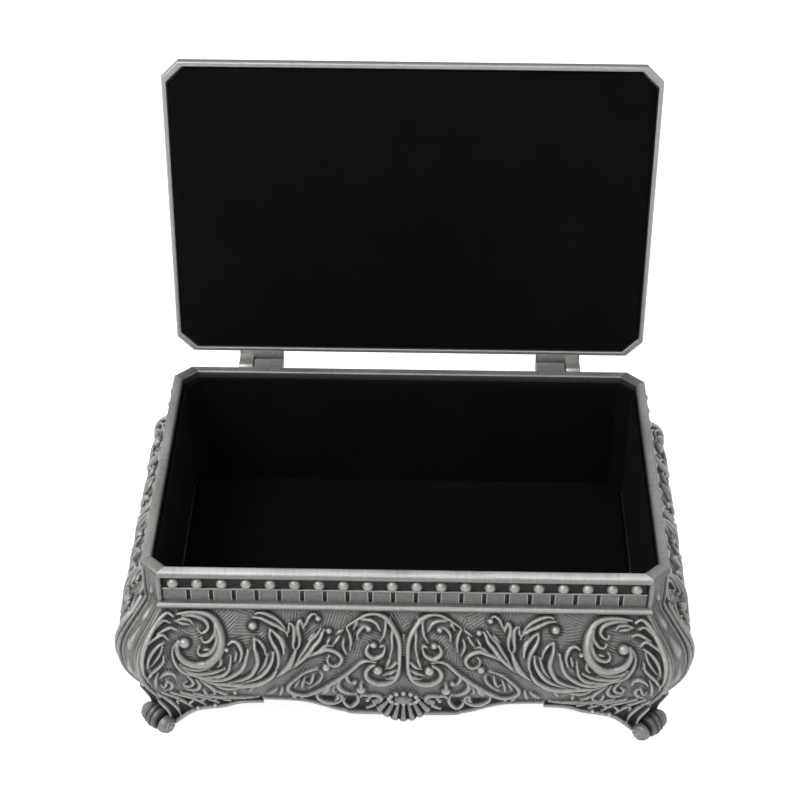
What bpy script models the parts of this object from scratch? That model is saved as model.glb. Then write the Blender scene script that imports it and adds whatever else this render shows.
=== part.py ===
"""Metal trinket box: a swelling cast body on scroll feet, with a hinged lid and a velvet lining.

Units are metres, +Z is up. X runs along the box, the front faces -Y and the hinges are at the back.
The origin is on the floor, at the middle of the outline that the box and its open lid cover.
The lid stands open against its stops, and turns about the hinge pins to close.
"""

import math

import bmesh
import bpy
from mathutils import Matrix, Vector

MM = 0.001

# Body, measured at the rim that the lid closes on
RIM_WIDTH = 148 * MM
RIM_DEPTH = 98.6 * MM
RIM_LIP = 3.0 * MM
RIM_EASE = 0.5 * MM
CORNER_CUT = 5.06 * MM
CORNER_FLARE_SHARE = 0.22
WALL = 2.4 * MM
BODY_DROP = 46 * MM
FOOT_HEIGHT = 15 * MM
SEAM = 0.1 * MM
FIT_GAP = 0.3 * MM
OVERRUN = 1.0 * MM

# Cornice under the rim, from the top down
RIM_FACE = 2.1 * MM
COVE_HEIGHT = 3.9 * MM
COVE_RECESS = 1.6 * MM
LEDGE_HEIGHT = 0.9 * MM
LEDGE_RECESS = 0.6 * MM
DENTIL_HEIGHT = 4.1 * MM
DENTIL_RECESS = 1.0 * MM
TORUS_HEIGHT = 2.1 * MM
TORUS_OUT = 0.6 * MM
BEAD_RADIUS = 1.6 * MM
BEAD_PITCH = 6.8 * MM
BEAD_RECESS = 0.6 * MM
SLOT_PITCH = 6.37 * MM
SLOT_WIDTH = 0.9 * MM
SLOT_DEPTH = 0.7 * MM
SLOT_MARGIN = 0.2 * MM
SLOT_END = 8.0 * MM

# Belly below the cornice: shares of the bulge, against shares of the belly's height
BULGE = 7.77 * MM
BELLY_SHARES = [
    (-0.03, 0.0),
    (0.09, 0.035),
    (0.32, 0.115),
    (0.62, 0.205),
    (0.845, 0.29),
    (0.965, 0.38),
    (1.0, 0.47),
    (0.975, 0.575),
    (0.88, 0.70),
    (0.71, 0.82),
    (0.53, 0.92),
    (0.37, 1.0),
]

# Base
BASE_LIP_REACH = 6.0 * MM
BASE_LIP = 2.0 * MM
PLATE = 1.2 * MM
FELT = 1.0 * MM

# Aprons between the feet: shares of the half length, against shares of the apron's drop
APRON_DROP = 5.0 * MM
APRON_THICKNESS = 2.2 * MM
APRON_OUT = 2.4 * MM
APRON_TUCK = 1.0 * MM
APRON_SHARES = [
    (1.0, 0.22),
    (0.86, 0.24),
    (0.72, 0.34),
    (0.58, 0.72),
    (0.44, 1.0),
    (0.3, 0.94),
    (0.16, 0.62),
    (0.0, 0.5),
]

# Fan at the middle of each apron
FAN_WIDTH = 16 * MM
FAN_ABOVE_BASE = 4.5 * MM
FAN_BELOW_BASE = 6.0 * MM
FAN_OUT = 6.2 * MM
FAN_THICKNESS = 4.6 * MM
FAN_LEAN = 2.0 * MM
FAN_RIBS = 7
JEWEL_WIDTH = 9.4 * MM
JEWEL_HEIGHT = 5.6 * MM
JEWEL_DEPTH = 2.4 * MM
JEWEL_ABOVE_BASE = 6.5 * MM

# Main scrolls of the relief, as shares of the panel's half length against shares of the belly's height
SCROLL_WIDTH = 2.4 * MM
SCROLL_PROUD = 0.8 * MM
SCROLL_SUNK = 0.7 * MM
LONG_SCROLLS = [
    [(0.864, 0.228), (0.85, 0.316), (0.822, 0.392), (0.774, 0.437), (0.727, 0.41), (0.697, 0.31)]
    + [(0.702, 0.208), (0.741, 0.11), (0.795, 0.054), (0.859, 0.045), (0.91, 0.052)],
    [(0.412, 0.316), (0.43, 0.428), (0.476, 0.551), (0.525, 0.632), (0.599, 0.691), (0.686, 0.676), (0.768, 0.593)],
    [(0.945, 0.057), (0.965, 0.12), (0.967, 0.245), (0.962, 0.419), (0.957, 0.629), (0.94, 0.789)],
    [(0.107, 0.363), (0.161, 0.383), (0.207, 0.497), (0.283, 0.673), (0.344, 0.8), (0.399, 0.851)]
    + [(0.44, 0.783), (0.424, 0.646), (0.375, 0.515), (0.321, 0.458)],
    [(0.026, 0.238), (0.026, 0.177), (0.042, 0.124), (0.081, 0.057), (0.152, 0.052), (0.226, 0.117)],
    [(0.125, 0.458), (0.141, 0.51), (0.122, 0.596), (0.065, 0.623), (0.028, 0.536), (0.027, 0.386)],
    [(0.314, 0.129), (0.338, 0.235), (0.366, 0.322), (0.39, 0.39)],
    [(0.599, 0.054), (0.543, 0.059), (0.492, 0.1), (0.459, 0.157), (0.44, 0.238)],
]
SHORT_SCROLLS = [
    [(0.795, 0.228), (0.776, 0.316), (0.735, 0.392), (0.665, 0.437), (0.594, 0.41), (0.546, 0.31)]
    + [(0.55, 0.208), (0.603, 0.11), (0.684, 0.054), (0.781, 0.045), (0.86, 0.052)],
    [(0.92, 0.057), (0.945, 0.12), (0.945, 0.245), (0.94, 0.419), (0.935, 0.629), (0.915, 0.789)],
    [(0.247, 0.434), (0.316, 0.569), (0.419, 0.673), (0.531, 0.676), (0.655, 0.593)],
    [(0.036, 0.238), (0.038, 0.177), (0.062, 0.124), (0.126, 0.057), (0.235, 0.052), (0.347, 0.117)],
    [(0.164, 0.416), (0.207, 0.494), (0.182, 0.596), (0.097, 0.623), (0.04, 0.536), (0.038, 0.386)],
]

# Drops down each corner column, at shares of the body's height below the rim
COLUMN_DROP_SHARES = [0.2, 0.39, 0.6, 0.8]
COLUMN_DROP_LENGTH = 3.4 * MM
COLUMN_DROP_WIDTH = 1.3 * MM
COLUMN_DROP_PROUD = 1.4 * MM
COLUMN_DROP_SINK = 0.35 * MM

# Feet: shares of the wing's reach from the corner, against shares of its drop to the floor
WING_REACH_FRONT = 33.4 * MM
WING_REACH_SIDE = 25.0 * MM
WING_THICKNESS = 3.0 * MM
WING_OUT = 2.2 * MM
WING_LOWER_SHARES = [
    (1.0, 0.07),
    (0.82, 0.10),
    (0.66, 0.27),
    (0.52, 0.35),
    (0.41, 0.44),
    (0.31, 0.62),
    (0.21, 0.86),
    (0.14, 0.97),
]
WING_START = 1.5 * MM
ANKLE_WIDTH = 7.0 * MM
ANKLE_DEPTH = 5.0 * MM
ANKLE_INSET = 4.4 * MM
ANKLE_CLEAR = 2.0 * MM
TOE_RADIUS = 3.3 * MM
TOE_LENGTH = 10.8 * MM
TOE_FLAT = 0.5 * MM
TOE_INSET = 1.7 * MM
TOE_SHARES = [
    (-1.0, 0.50),
    (-0.92, 0.80),
    (-0.62, 0.97),
    (-0.40, 0.90),
    (-0.30, 0.78),
    (-0.18, 0.94),
    (0.0, 1.0),
    (0.18, 0.94),
    (0.30, 0.78),
    (0.40, 0.90),
    (0.62, 0.97),
    (0.92, 0.80),
    (1.0, 0.50),
]

# Lining of velvet over card
LINING = 1.2 * MM
LINING_TOP = 2.0 * MM
FLOOR_PAD = 2.0 * MM
PAD_EDGE = 0.8 * MM

# Hinges, each a wide knuckle on the box and a narrow one on the lid, on one pin
HINGE_BACK = 3.8 * MM
HINGE_DROP = 2.6 * MM
HINGE_INSET = 19.9 * MM
BOX_KNUCKLE = 9.0 * MM
LID_KNUCKLE = 4.5 * MM
KNUCKLE_RADIUS = 2.4 * MM
PIN_RADIUS = 0.75 * MM
PIN_CLEARANCE = 0.09 * MM
SEAT_MARGIN = 1.0 * MM
SEAT_HEIGHT = 5.4 * MM
HEEL_EASE = 1.2 * MM
TAB = 2.4 * MM
ROOT = 1.2 * MM
OPEN_ANGLE = math.radians(94)

# Lid
LID_EDGE = 3.0 * MM
LID_EASE = 0.5 * MM
LID_LIP = 1.4 * MM
LID_WALL = 1.8 * MM
LID_BOARD = 0.6 * MM
LID_PAD = 0.9 * MM
LID_PAD_CROWN = 0.3 * MM
LID_SEAT = 2.0 * MM
LID_DOME = 6.0 * MM
LID_DOME_RUN = 24 * MM
LID_SHARES = [
    (0.10, 0.0),
    (0.13, 0.16),
    (0.24, 0.20),
    (0.27, 0.34),
    (0.45, 0.62),
    (0.70, 0.86),
    (1.0, 1.0),
]

# Facets of the round pieces
PIN_SIDES = 16
BEAD_SIDES = 8
BEAD_RINGS = 4
TOE_SIDES = 12

HALF_WIDTH = RIM_WIDTH / 2
HALF_DEPTH = RIM_DEPTH / 2
RIM_HEIGHT = BODY_DROP + FOOT_HEIGHT
CORNICE = RIM_FACE + COVE_HEIGHT + LEDGE_HEIGHT + DENTIL_HEIGHT + TORUS_HEIGHT
HINGE_SPAN = BOX_KNUCKLE + FIT_GAP + LID_KNUCKLE
KNUCKLE_CENTRE_X = HALF_WIDTH - HINGE_INSET - HINGE_SPAN / 2
JEWEL_DROP = BODY_DROP - JEWEL_ABOVE_BASE
LID_RISE = HINGE_DROP + FIT_GAP
HEEL = HINGE_BACK - FIT_GAP


# Outlines of the body, as (out from the rim's edge, drop below the rim's top)


def corner_cut(out):
    """The corner column widens a little as the wall swells."""
    return CORNER_CUT + CORNER_FLARE_SHARE * out


def belly_points():
    height = BODY_DROP - CORNICE
    return [(BULGE * out, CORNICE + height * down) for out, down in BELLY_SHARES]


def wall_out(drop):
    """How far out the belly's outer surface is at a drop below the rim."""
    points = belly_points()
    for (out_a, drop_a), (out_b, drop_b) in zip(points, points[1:]):
        if drop <= drop_b:
            share = max(0.0, (drop - drop_a) / (drop_b - drop_a))
            return out_a + (out_b - out_a) * share
    return points[-1][0]


def lid_outline():
    """The lid's outer surface as (out, rise) from its underside's edge to its flat top."""
    points = [(0, 0), (0, LID_EDGE - LID_EASE), (-LID_EASE, LID_EDGE)]
    points += [(-LID_DOME_RUN * run, LID_EDGE + LID_DOME * rise) for run, rise in LID_SHARES]
    return points


def lid_reach_back():
    """How far behind the hinge axis the open lid reaches."""
    ends = []
    for out, rise in lid_outline():
        for y in (-HINGE_BACK + out, -HINGE_BACK - RIM_DEPTH - out):
            ends.append(y * math.cos(OPEN_ANGLE) + (LID_RISE + rise) * math.sin(OPEN_ANGLE))
    return max(ends)


def front_reach():
    """How far the front wall's scrolls and the jewel stand out from the rim."""
    return max(BULGE + SCROLL_PROUD, wall_out(JEWEL_DROP) + JEWEL_DEPTH)


# The box's own middle lies ahead of the origin, by half of what the open lid adds behind it
BOX_Y = (front_reach() - HINGE_BACK - lid_reach_back()) / 2
AXIS_Y = BOX_Y + HALF_DEPTH + HINGE_BACK
AXIS_Z = RIM_HEIGHT - HINGE_DROP


# Scene, materials and mesh helpers


def clear_scene():
    for old in list(bpy.data.objects):
        bpy.data.objects.remove(old, do_unlink=True)


def make_material(name, colour, roughness, metallic):
    material = bpy.data.materials.new(name)
    material.use_nodes = True
    shader = material.node_tree.nodes["Principled BSDF"]
    shader.inputs["Base Color"].default_value = (*colour, 1)
    shader.inputs["Roughness"].default_value = roughness
    shader.inputs["Metallic"].default_value = metallic
    return material


def new_object(name, bm, material, parent=None, smooth_angle=math.radians(35)):
    """Turns a bmesh into an object with outward normals, and smooth shading up to an angle."""
    bmesh.ops.recalc_face_normals(bm, faces=bm.faces)
    mesh = bpy.data.meshes.new(name)
    bm.to_mesh(mesh)
    bm.free()
    mesh.shade_smooth()
    mesh.set_sharp_from_angle(angle=smooth_angle)
    obj = bpy.data.objects.new(name, mesh)
    if material is not None:
        mesh.materials.append(material)
    obj.parent = parent
    bpy.context.scene.collection.objects.link(obj)
    return obj


def combine(obj, operation, name, bm):
    """Joins a mesh to an object, or cuts it away, with a Boolean that stays on the object."""
    helper = new_object(name, bm, None, obj.parent)
    helper.location = obj.location
    helper.rotation_euler = obj.rotation_euler
    helper.hide_render = True
    helper.display_type = "WIRE"
    modifier = obj.modifiers.new(name, "BOOLEAN")
    modifier.operation = operation
    modifier.object = helper
    modifier.solver = "EXACT"


def add_loft(bm, rings):
    """Skins closed rings of points in order, and caps the first and the last."""
    made = [[bm.verts.new(point) for point in ring] for ring in rings]
    for low, high in zip(made, made[1:]):
        for i in range(len(low)):
            j = (i + 1) % len(low)
            bm.faces.new((low[i], low[j], high[j], high[i]))
    bm.faces.new(made[0][::-1])
    bm.faces.new(made[-1])


def add_box(bm, low, high):
    xs, ys, zs = zip(low, high)
    rings = [[(xs[0], ys[0], z), (xs[1], ys[0], z), (xs[1], ys[1], z), (xs[0], ys[1], z)] for z in zs]
    add_loft(bm, rings)


def add_prism(bm, outline, x_low, x_high):
    """Extrudes an outline of (y, z) points along X."""
    add_loft(bm, [[(x, y, z) for y, z in outline] for x in (x_low, x_high)])


def add_ellipsoid(bm, centre, axes):
    """A faceted ellipsoid. The columns of axes are its three half axes."""
    made = bmesh.ops.create_uvsphere(bm, u_segments=BEAD_SIDES, v_segments=BEAD_RINGS, radius=1)
    placed = Matrix(axes).transposed().to_4x4()
    placed.translation = centre
    bmesh.ops.transform(bm, matrix=placed, verts=made["verts"])


def circle(radius, sides, turn=0.0):
    angles = [turn + 2 * math.pi * i / sides for i in range(sides)]
    return [(radius * math.cos(a), radius * math.sin(a)) for a in angles]


def wall_section():
    """The closed outline of a wall: down its outer face, in along the base lip and up inside."""
    cove_end = RIM_FACE + COVE_HEIGHT
    ledge_end = cove_end + LEDGE_HEIGHT
    dentil_end = ledge_end + DENTIL_HEIGHT
    torus_corner = TORUS_HEIGHT / 4
    outer = [
        (-RIM_EASE, 0),
        (0, RIM_EASE),
        (0, RIM_FACE),
        (-COVE_RECESS, RIM_FACE),
        (-COVE_RECESS, cove_end),
        (-LEDGE_RECESS, cove_end),
        (-LEDGE_RECESS, ledge_end),
        (-DENTIL_RECESS, ledge_end),
        (-DENTIL_RECESS, dentil_end),
        (0, dentil_end),
        (TORUS_OUT, dentil_end + torus_corner),
        (TORUS_OUT, CORNICE - torus_corner),
    ]
    outer += belly_points()
    lip_top = BODY_DROP - BASE_LIP
    inner = [(-BASE_LIP_REACH, BODY_DROP), (-BASE_LIP_REACH, lip_top), (wall_out(lip_top) - WALL, lip_top)]
    inner += [
        (out - WALL, drop)
        for out, drop in reversed(belly_points())
        if drop < lip_top - WALL / 2 and out - WALL > -RIM_LIP
    ]
    inner += [(-RIM_LIP, CORNICE - WALL / 2), (-RIM_LIP, 0)]
    return outer + inner


def long_side(out, share):
    """A point of the front wall's plan: shares 0 to 3 are its four corners, from left to right."""
    cut = corner_cut(out)
    x = HALF_WIDTH + out
    y = -(HALF_DEPTH + out)
    return [(-x, y + cut), (-x + cut, y), (x - cut, y), (x, y + cut)][share]


def short_side(out, share):
    """A point of the right wall's plan: its front corner, then its back corner."""
    y = HALF_DEPTH + out - corner_cut(out) - SEAM
    return (HALF_WIDTH + out, -y if share == 0 else y)


def add_swept(bm, section, plan, stations):
    """Sweeps an outline of (out, drop) points along the stations of a wall's plan."""
    rings = []
    for station in range(stations):
        rings.append([(*plan(out, station), RIM_HEIGHT - drop) for out, drop in section])
    add_loft(bm, rings)


def octagon(out, cut):
    """The plan of a plate that keeps the rim's shape, as eight points."""
    x, y = HALF_WIDTH + out, HALF_DEPTH + out
    quarter = [(x, y - cut), (x - cut, y)]
    points = []
    for turn_x, turn_y, order in ((1, 1, 1), (-1, 1, -1), (-1, -1, 1), (1, -1, -1)):
        points += [(turn_x * px, turn_y * py) for px, py in quarter[::order]]
    return points


def add_plate(bm, rings, y=0.0):
    """Lofts plates given as (out, corner cut, height), with their middle at y."""
    add_loft(bm, [[(px, py + y, z) for px, py in octagon(out, cut)] for out, cut, z in rings])


# Ornament that is cast with the walls, placed on a long or a short wall's face


def spread(length, pitch):
    """Places for a row of equal things, centred on a length."""
    count = max(1, int(length / pitch) + 1)
    return [(i - (count - 1) / 2) * pitch for i in range(count)]


def bead_places(wall_length, blocked):
    """Where the beads of the cornice sit, leaving out the stretches that a hinge covers."""
    places = spread(wall_length - BEAD_PITCH, BEAD_PITCH)
    return [x for x in places if not any(low < abs(x) < high for low, high in blocked)]


def add_beads(bm, wall_length, front_y, blocked=()):
    radius = BEAD_RADIUS
    axes = ((radius, 0, 0), (0, radius, 0), (0, 0, radius))
    height = RIM_HEIGHT - RIM_FACE - COVE_HEIGHT / 2
    for x in bead_places(wall_length, blocked):
        add_ellipsoid(bm, Vector((x, front_y + BEAD_RECESS, height)), axes)


def add_slots(bm, wall_length, front_y):
    """Cutters for the slots that divide the dentil band into blocks."""
    top = RIM_HEIGHT - RIM_FACE - COVE_HEIGHT - LEDGE_HEIGHT - SLOT_MARGIN
    low = top - DENTIL_HEIGHT + 2 * SLOT_MARGIN
    face = front_y + DENTIL_RECESS
    for x in spread(wall_length - 2 * SLOT_END, SLOT_PITCH):
        half = SLOT_WIDTH / 2
        add_box(bm, (x - half, face - OVERRUN, low), (x + half, face + SLOT_DEPTH, top))


def add_apron(bm, half_length, front_y):
    """The scalloped skirt that hangs from the base between two feet."""
    top = FOOT_HEIGHT + APRON_TUCK
    left = [(-half_length * run, top - APRON_TUCK - APRON_DROP * down) for run, down in APRON_SHARES]
    right = [(-x, z) for x, z in reversed(left[:-1])]
    outline = [(half_length, top), (-half_length, top), *left, *right]
    faces = (front_y - APRON_OUT, front_y - APRON_OUT + APRON_THICKNESS)
    add_loft(bm, [[(x, y, z) for x, z in outline] for y in faces])


def add_fan(bm, front_y):
    """A ribbed shell under an oval jewel. Each rib is a leaf that widens downwards."""
    top = FOOT_HEIGHT + FAN_ABOVE_BASE
    bottom = FOOT_HEIGHT - FAN_BELOW_BASE
    edge = []
    for i in range(2 * FAN_RIBS + 1):
        angle = math.pi * (i / (2 * FAN_RIBS) - 0.5)
        reach = 1.0 if i % 2 else 1.0 - 1.0 / FAN_RIBS / 2
        x = FAN_WIDTH / 2 * math.sin(angle) * reach
        z = top - (top - bottom) * math.cos(angle) * reach
        edge.append((x, z))
    outline = [(FAN_WIDTH / 2 * 0.5, top + FAN_LEAN), (-FAN_WIDTH / 2 * 0.5, top + FAN_LEAN), *edge]
    rings = []
    for back in (0, FAN_THICKNESS):
        ring = []
        for x, z in outline:
            lean = FAN_LEAN * (top - z) / (top - bottom)
            ring.append((x, front_y - FAN_OUT + lean + back, z))
        rings.append(ring)
    add_loft(bm, rings)


def add_jewel(bm, front_y):
    out = wall_out(JEWEL_DROP)
    axes = ((JEWEL_WIDTH / 2, 0, 0), (0, JEWEL_DEPTH, 0), (0, 0, JEWEL_HEIGHT / 2))
    add_ellipsoid(bm, Vector((0, front_y - out, RIM_HEIGHT - JEWEL_DROP)), axes)


def panel_point(x, down, height, front_y):
    """A point that stands a height off the belly of a wall modelled as a front, down from the cornice."""
    drop = CORNICE + down
    slope = (wall_out(drop + WALL) - wall_out(drop - WALL)) / (2 * WALL)
    lean = 1 / math.hypot(1, slope)
    return (x, front_y - wall_out(drop) - height * lean, RIM_HEIGHT - drop + height * slope * lean)


def add_scroll(bm, shares, half, side, front_y):
    """A ridge with three sides along one scroll, whose ends run into the wall. No two scrolls touch."""
    places = []
    for along, share in shares:
        down = (BODY_DROP - CORNICE) * share
        reach = half + (1 - CORNER_FLARE_SHARE) * wall_out(CORNICE + down)
        places.append(Vector((side * along * reach, down)))
    last = len(places) - 1
    rings = []
    for i, place in enumerate(places):
        way = (places[min(last, i + 1)] - places[max(0, i - 1)]).normalized() * SCROLL_WIDTH / 2
        crest = SCROLL_PROUD if 0 < i < last else -SCROLL_SUNK / 2
        ring = []
        for share, height in ((-1, -SCROLL_SUNK), (0, crest), (1, -SCROLL_SUNK)):
            ring.append(panel_point(place.x - way.y * share, place.y + way.x * share, height, front_y))
        rings.append(ring)
    add_loft(bm, rings)


def add_scrolls(bm, scrolls, half, front_y):
    for shares in scrolls:
        for side in (-1, 1):
            add_scroll(bm, shares, half, side, front_y)


def add_column_drops(bm):
    """A chain of drops down the middle of both corner columns of a long wall."""
    for side in (-1, 1):
        for share in COLUMN_DROP_SHARES:
            drop = BODY_DROP * share
            out = max(-COVE_RECESS, wall_out(drop) if drop > CORNICE else -DENTIL_RECESS)
            cut = corner_cut(out)
            slope = wall_out(drop + COLUMN_DROP_LENGTH) - wall_out(drop - COLUMN_DROP_LENGTH)
            if drop < CORNICE:
                slope = 0.0
            away = Vector((side, -1, 0)).normalized()
            across = Vector((1, side, 0)).normalized()
            lean = math.atan2(slope * math.sqrt(2), 2 * COLUMN_DROP_LENGTH)
            along = away * math.sin(lean) - Vector((0, 0, 1)) * math.cos(lean)
            proud = away * math.cos(lean) + Vector((0, 0, 1)) * math.sin(lean)
            centre = Vector((side * (HALF_WIDTH + out - cut / 2), -(HALF_DEPTH + out - cut / 2), RIM_HEIGHT - drop))
            centre -= proud * COLUMN_DROP_SINK
            axes = (across * COLUMN_DROP_WIDTH, proud * COLUMN_DROP_PROUD, along * COLUMN_DROP_LENGTH)
            add_ellipsoid(bm, centre, axes)


# Body


def dress_wall(obj, length, half_depth, apron_half, blocked=()):
    """Adds the cornice, the apron, the fan and the jewel to a wall modelled as a front."""
    front_y = -half_depth
    for name, operation, add in (
        ("slots", "DIFFERENCE", lambda bm: add_slots(bm, length, front_y)),
        ("apron", "UNION", lambda bm: add_apron(bm, apron_half, front_y)),
        ("fan", "UNION", lambda bm: add_fan(bm, front_y)),
    ):
        bm = bmesh.new()
        add(bm)
        combine(obj, operation, f"{obj.name}_{name}", bm)
    bm = bmesh.new()
    add_beads(bm, length, front_y, blocked)
    add_jewel(bm, front_y)
    combine(obj, "UNION", f"{obj.name}_bosses", bm)


def make_long_wall(name, turn, material, blocked=()):
    """The front or the back wall, with its two corner columns."""
    bm = bmesh.new()
    add_swept(bm, wall_section(), long_side, 4)
    wall = new_object(name, bm, material)
    wall.location = (0, BOX_Y, 0)
    wall.rotation_euler = (0, 0, turn)
    dress_wall(
        wall,
        2 * (HALF_WIDTH - CORNER_CUT),
        HALF_DEPTH,
        HALF_WIDTH - WING_REACH_FRONT - FIT_GAP,
        blocked,
    )
    bm = bmesh.new()
    add_scrolls(bm, LONG_SCROLLS, HALF_WIDTH - CORNER_CUT, -HALF_DEPTH)
    add_column_drops(bm)
    combine(wall, "UNION", f"{name}_relief", bm)
    return wall


def make_short_wall(name, turn, material):
    """The left or the right wall, between two corner columns. It is modelled as the right one."""
    bm = bmesh.new()
    add_swept(bm, wall_section(), short_side, 2)
    bmesh.ops.rotate(bm, verts=bm.verts, matrix=Matrix.Rotation(-math.pi / 2, 3, "Z"))
    wall = new_object(name, bm, material)
    wall.location = (0, BOX_Y, 0)
    wall.rotation_euler = (0, 0, turn)
    dress_wall(
        wall,
        2 * (HALF_DEPTH - CORNER_CUT),
        HALF_WIDTH,
        HALF_DEPTH - WING_REACH_SIDE - FIT_GAP,
    )
    bm = bmesh.new()
    add_scrolls(bm, SHORT_SCROLLS, HALF_DEPTH - CORNER_CUT - SEAM, -HALF_WIDTH)
    combine(wall, "UNION", f"{name}_relief", bm)
    return wall


def knuckle_outline(radius, wall_y):
    """A knuckle about the axis with a neck that runs to the wall, as (y, z) from the axis."""
    steps = 8
    arc = [math.pi / 2 - math.pi * i / steps for i in range(steps + 1)]
    return [(radius * math.cos(a), radius * math.sin(a)) for a in arc] + [(wall_y, -radius), (wall_y, radius)]


def hinge_spans():
    """For each hinge, the stretch of X of the box's knuckle and of the lid's."""
    inner = KNUCKLE_CENTRE_X - HINGE_SPAN / 2
    box = (inner, inner + BOX_KNUCKLE)
    lid = (box[1] + FIT_GAP, box[1] + FIT_GAP + LID_KNUCKLE)
    right = (box, lid)
    left = ((-box[1], -box[0]), (-lid[1], -lid[0]))
    return {"left": left, "right": right}


def add_hinge_seats(bm):
    """Plain blocks in the cove, which the heels of the open lid's knuckles rest against."""
    top = RIM_HEIGHT - RIM_EASE - FIT_GAP
    for side in (-1, 1):
        middle = side * KNUCKLE_CENTRE_X
        half = HINGE_SPAN / 2 + SEAT_MARGIN
        back = HALF_DEPTH - SEAM
        add_box(
            bm,
            (middle - half, back - COVE_RECESS - ROOT / 2, top - SEAT_HEIGHT),
            (middle + half, back, top),
        )


def add_box_knuckles(bm):
    """The box's knuckles, in the box's own frame."""
    wall_y = -HINGE_BACK - ROOT
    for box, _ in hinge_spans().values():
        outline = [
            (y + HALF_DEPTH + HINGE_BACK, z + RIM_HEIGHT - HINGE_DROP)
            for y, z in knuckle_outline(KNUCKLE_RADIUS, wall_y)
        ]
        add_prism(bm, outline, *box)


def add_pin_bores(bm, y, z):
    """Cutters along both hinge pins, through every knuckle."""
    radius = PIN_RADIUS + PIN_CLEARANCE
    for side in (-1, 1):
        middle = side * KNUCKLE_CENTRE_X
        half = HINGE_SPAN / 2 + OVERRUN
        outline = [(y + py, z + pz) for py, pz in circle(radius, PIN_SIDES)]
        add_prism(bm, outline, middle - half, middle + half)


def turned_about(bm):
    """Turns a mesh half round about Z, from the box's frame to a back wall modelled as a front."""
    bmesh.ops.rotate(bm, verts=bm.verts, matrix=Matrix.Rotation(math.pi, 3, "Z"))
    return bm


def make_back_wall(material):
    half_span = HINGE_SPAN / 2 + SEAT_MARGIN + BEAD_RADIUS
    blocked = [(KNUCKLE_CENTRE_X - half_span, KNUCKLE_CENTRE_X + half_span)]
    wall = make_long_wall("back_wall", math.pi, material, blocked)
    bm = bmesh.new()
    add_hinge_seats(bm)
    combine(wall, "UNION", "back_wall_seats", turned_about(bm))
    bm = bmesh.new()
    add_box_knuckles(bm)
    combine(wall, "UNION", "back_wall_knuckles", turned_about(bm))
    bm = bmesh.new()
    add_pin_bores(bm, HALF_DEPTH + HINGE_BACK, RIM_HEIGHT - HINGE_DROP)
    combine(wall, "DIFFERENCE", "back_wall_bores", turned_about(bm))


def make_walls(metal):
    make_long_wall("front_wall", 0.0, metal)
    make_back_wall(metal)
    make_short_wall("right_wall", math.pi / 2, metal)
    make_short_wall("left_wall", -math.pi / 2, metal)


# Feet, modelled for the front right corner and turned or mirrored to the others


def wing_outline(reach, top):
    """One wing of a foot, as (distance in from the corner, height)."""
    lower = [(reach * run, top - top * down) for run, down in WING_LOWER_SHARES]
    return [(WING_START, top), (reach, top), *lower, (WING_START, lower[-1][1])]


def add_wings(bm, top):
    x, y = HALF_WIDTH, -HALF_DEPTH
    front = (y - WING_OUT, y - WING_OUT + WING_THICKNESS)
    outline = wing_outline(WING_REACH_FRONT, top)
    add_loft(bm, [[(x - run, face, z) for run, z in outline] for face in front])


def add_side_wing(bm, top):
    x, y = HALF_WIDTH, -HALF_DEPTH
    side = (x + WING_OUT, x + WING_OUT - WING_THICKNESS)
    outline = wing_outline(WING_REACH_SIDE, top)
    add_loft(bm, [[(face, y + run, z) for run, z in outline] for face in side])


def add_ankle(bm, top):
    """A block across the corner that joins both wings to the toe."""
    away = Vector((1, -1, 0)).normalized()
    across = Vector((1, 1, 0)).normalized()
    centre = Vector((HALF_WIDTH, -HALF_DEPTH, 0)) - away * ANKLE_INSET
    rings = []
    for z, swell in ((top - FIT_GAP, 1.0), (top / 2, 0.8), (ANKLE_CLEAR, 0.9)):
        out = away * (ANKLE_DEPTH * swell)
        half = across * (ANKLE_WIDTH / 2 * swell)
        back = away * (-ANKLE_DEPTH / 2)
        corners = (centre + out - half, centre + out + half, centre + back + half, centre + back - half)
        rings.append([(p.x, p.y, z) for p in corners])
    add_loft(bm, rings)


def add_toe(bm):
    """The rolled toe: three lobes side by side across the corner, cut flat where they stand."""
    across = Vector((1, 1, 0)).normalized()
    away = Vector((1, -1, 0)).normalized()
    centre = Vector((HALF_WIDTH, -HALF_DEPTH, TOE_RADIUS - TOE_FLAT)) - away * TOE_INSET
    rings = []
    for along, swell in TOE_SHARES:
        middle = centre + across * (TOE_LENGTH / 2 * along)
        ring = []
        for forward, up in circle(TOE_RADIUS * swell, TOE_SIDES, math.pi / TOE_SIDES):
            point = middle + away * forward + Vector((0, 0, up))
            ring.append((point.x, point.y, max(0.0, point.z)))
        rings.append(ring)
    add_loft(bm, rings)


def make_foot(name, mirror_x, mirror_y, material):
    top = FOOT_HEIGHT - FIT_GAP
    makers = (
        ("front_wing", lambda bm: add_wings(bm, top)),
        ("side_wing", lambda bm: add_side_wing(bm, top)),
        ("ankle", lambda bm: add_ankle(bm, top)),
        ("toe", add_toe),
    )
    foot = None
    for part, add in makers:
        bm = bmesh.new()
        add(bm)
        bmesh.ops.scale(bm, vec=(mirror_x, mirror_y, 1), verts=bm.verts)
        if foot is None:
            foot = new_object(name, bm, material)
            foot.location = (0, BOX_Y, 0)
        else:
            combine(foot, "UNION", f"{name}_{part}", bm)
    return foot


def make_feet(metal):
    for end, mirror_y in (("front", 1), ("back", -1)):
        for side, mirror_x in (("left", -1), ("right", 1)):
            make_foot(f"foot_{end}_{side}", mirror_x, mirror_y, metal)


# Base and lining


def make_plate(name, rings, material, parent=None, y=BOX_Y):
    bm = bmesh.new()
    add_plate(bm, rings, y)
    return new_object(name, bm, material, parent)


def base_levels():
    """The heights of the base plate's underside and top."""
    low = FOOT_HEIGHT + BASE_LIP + FIT_GAP
    return low, low + PLATE


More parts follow.
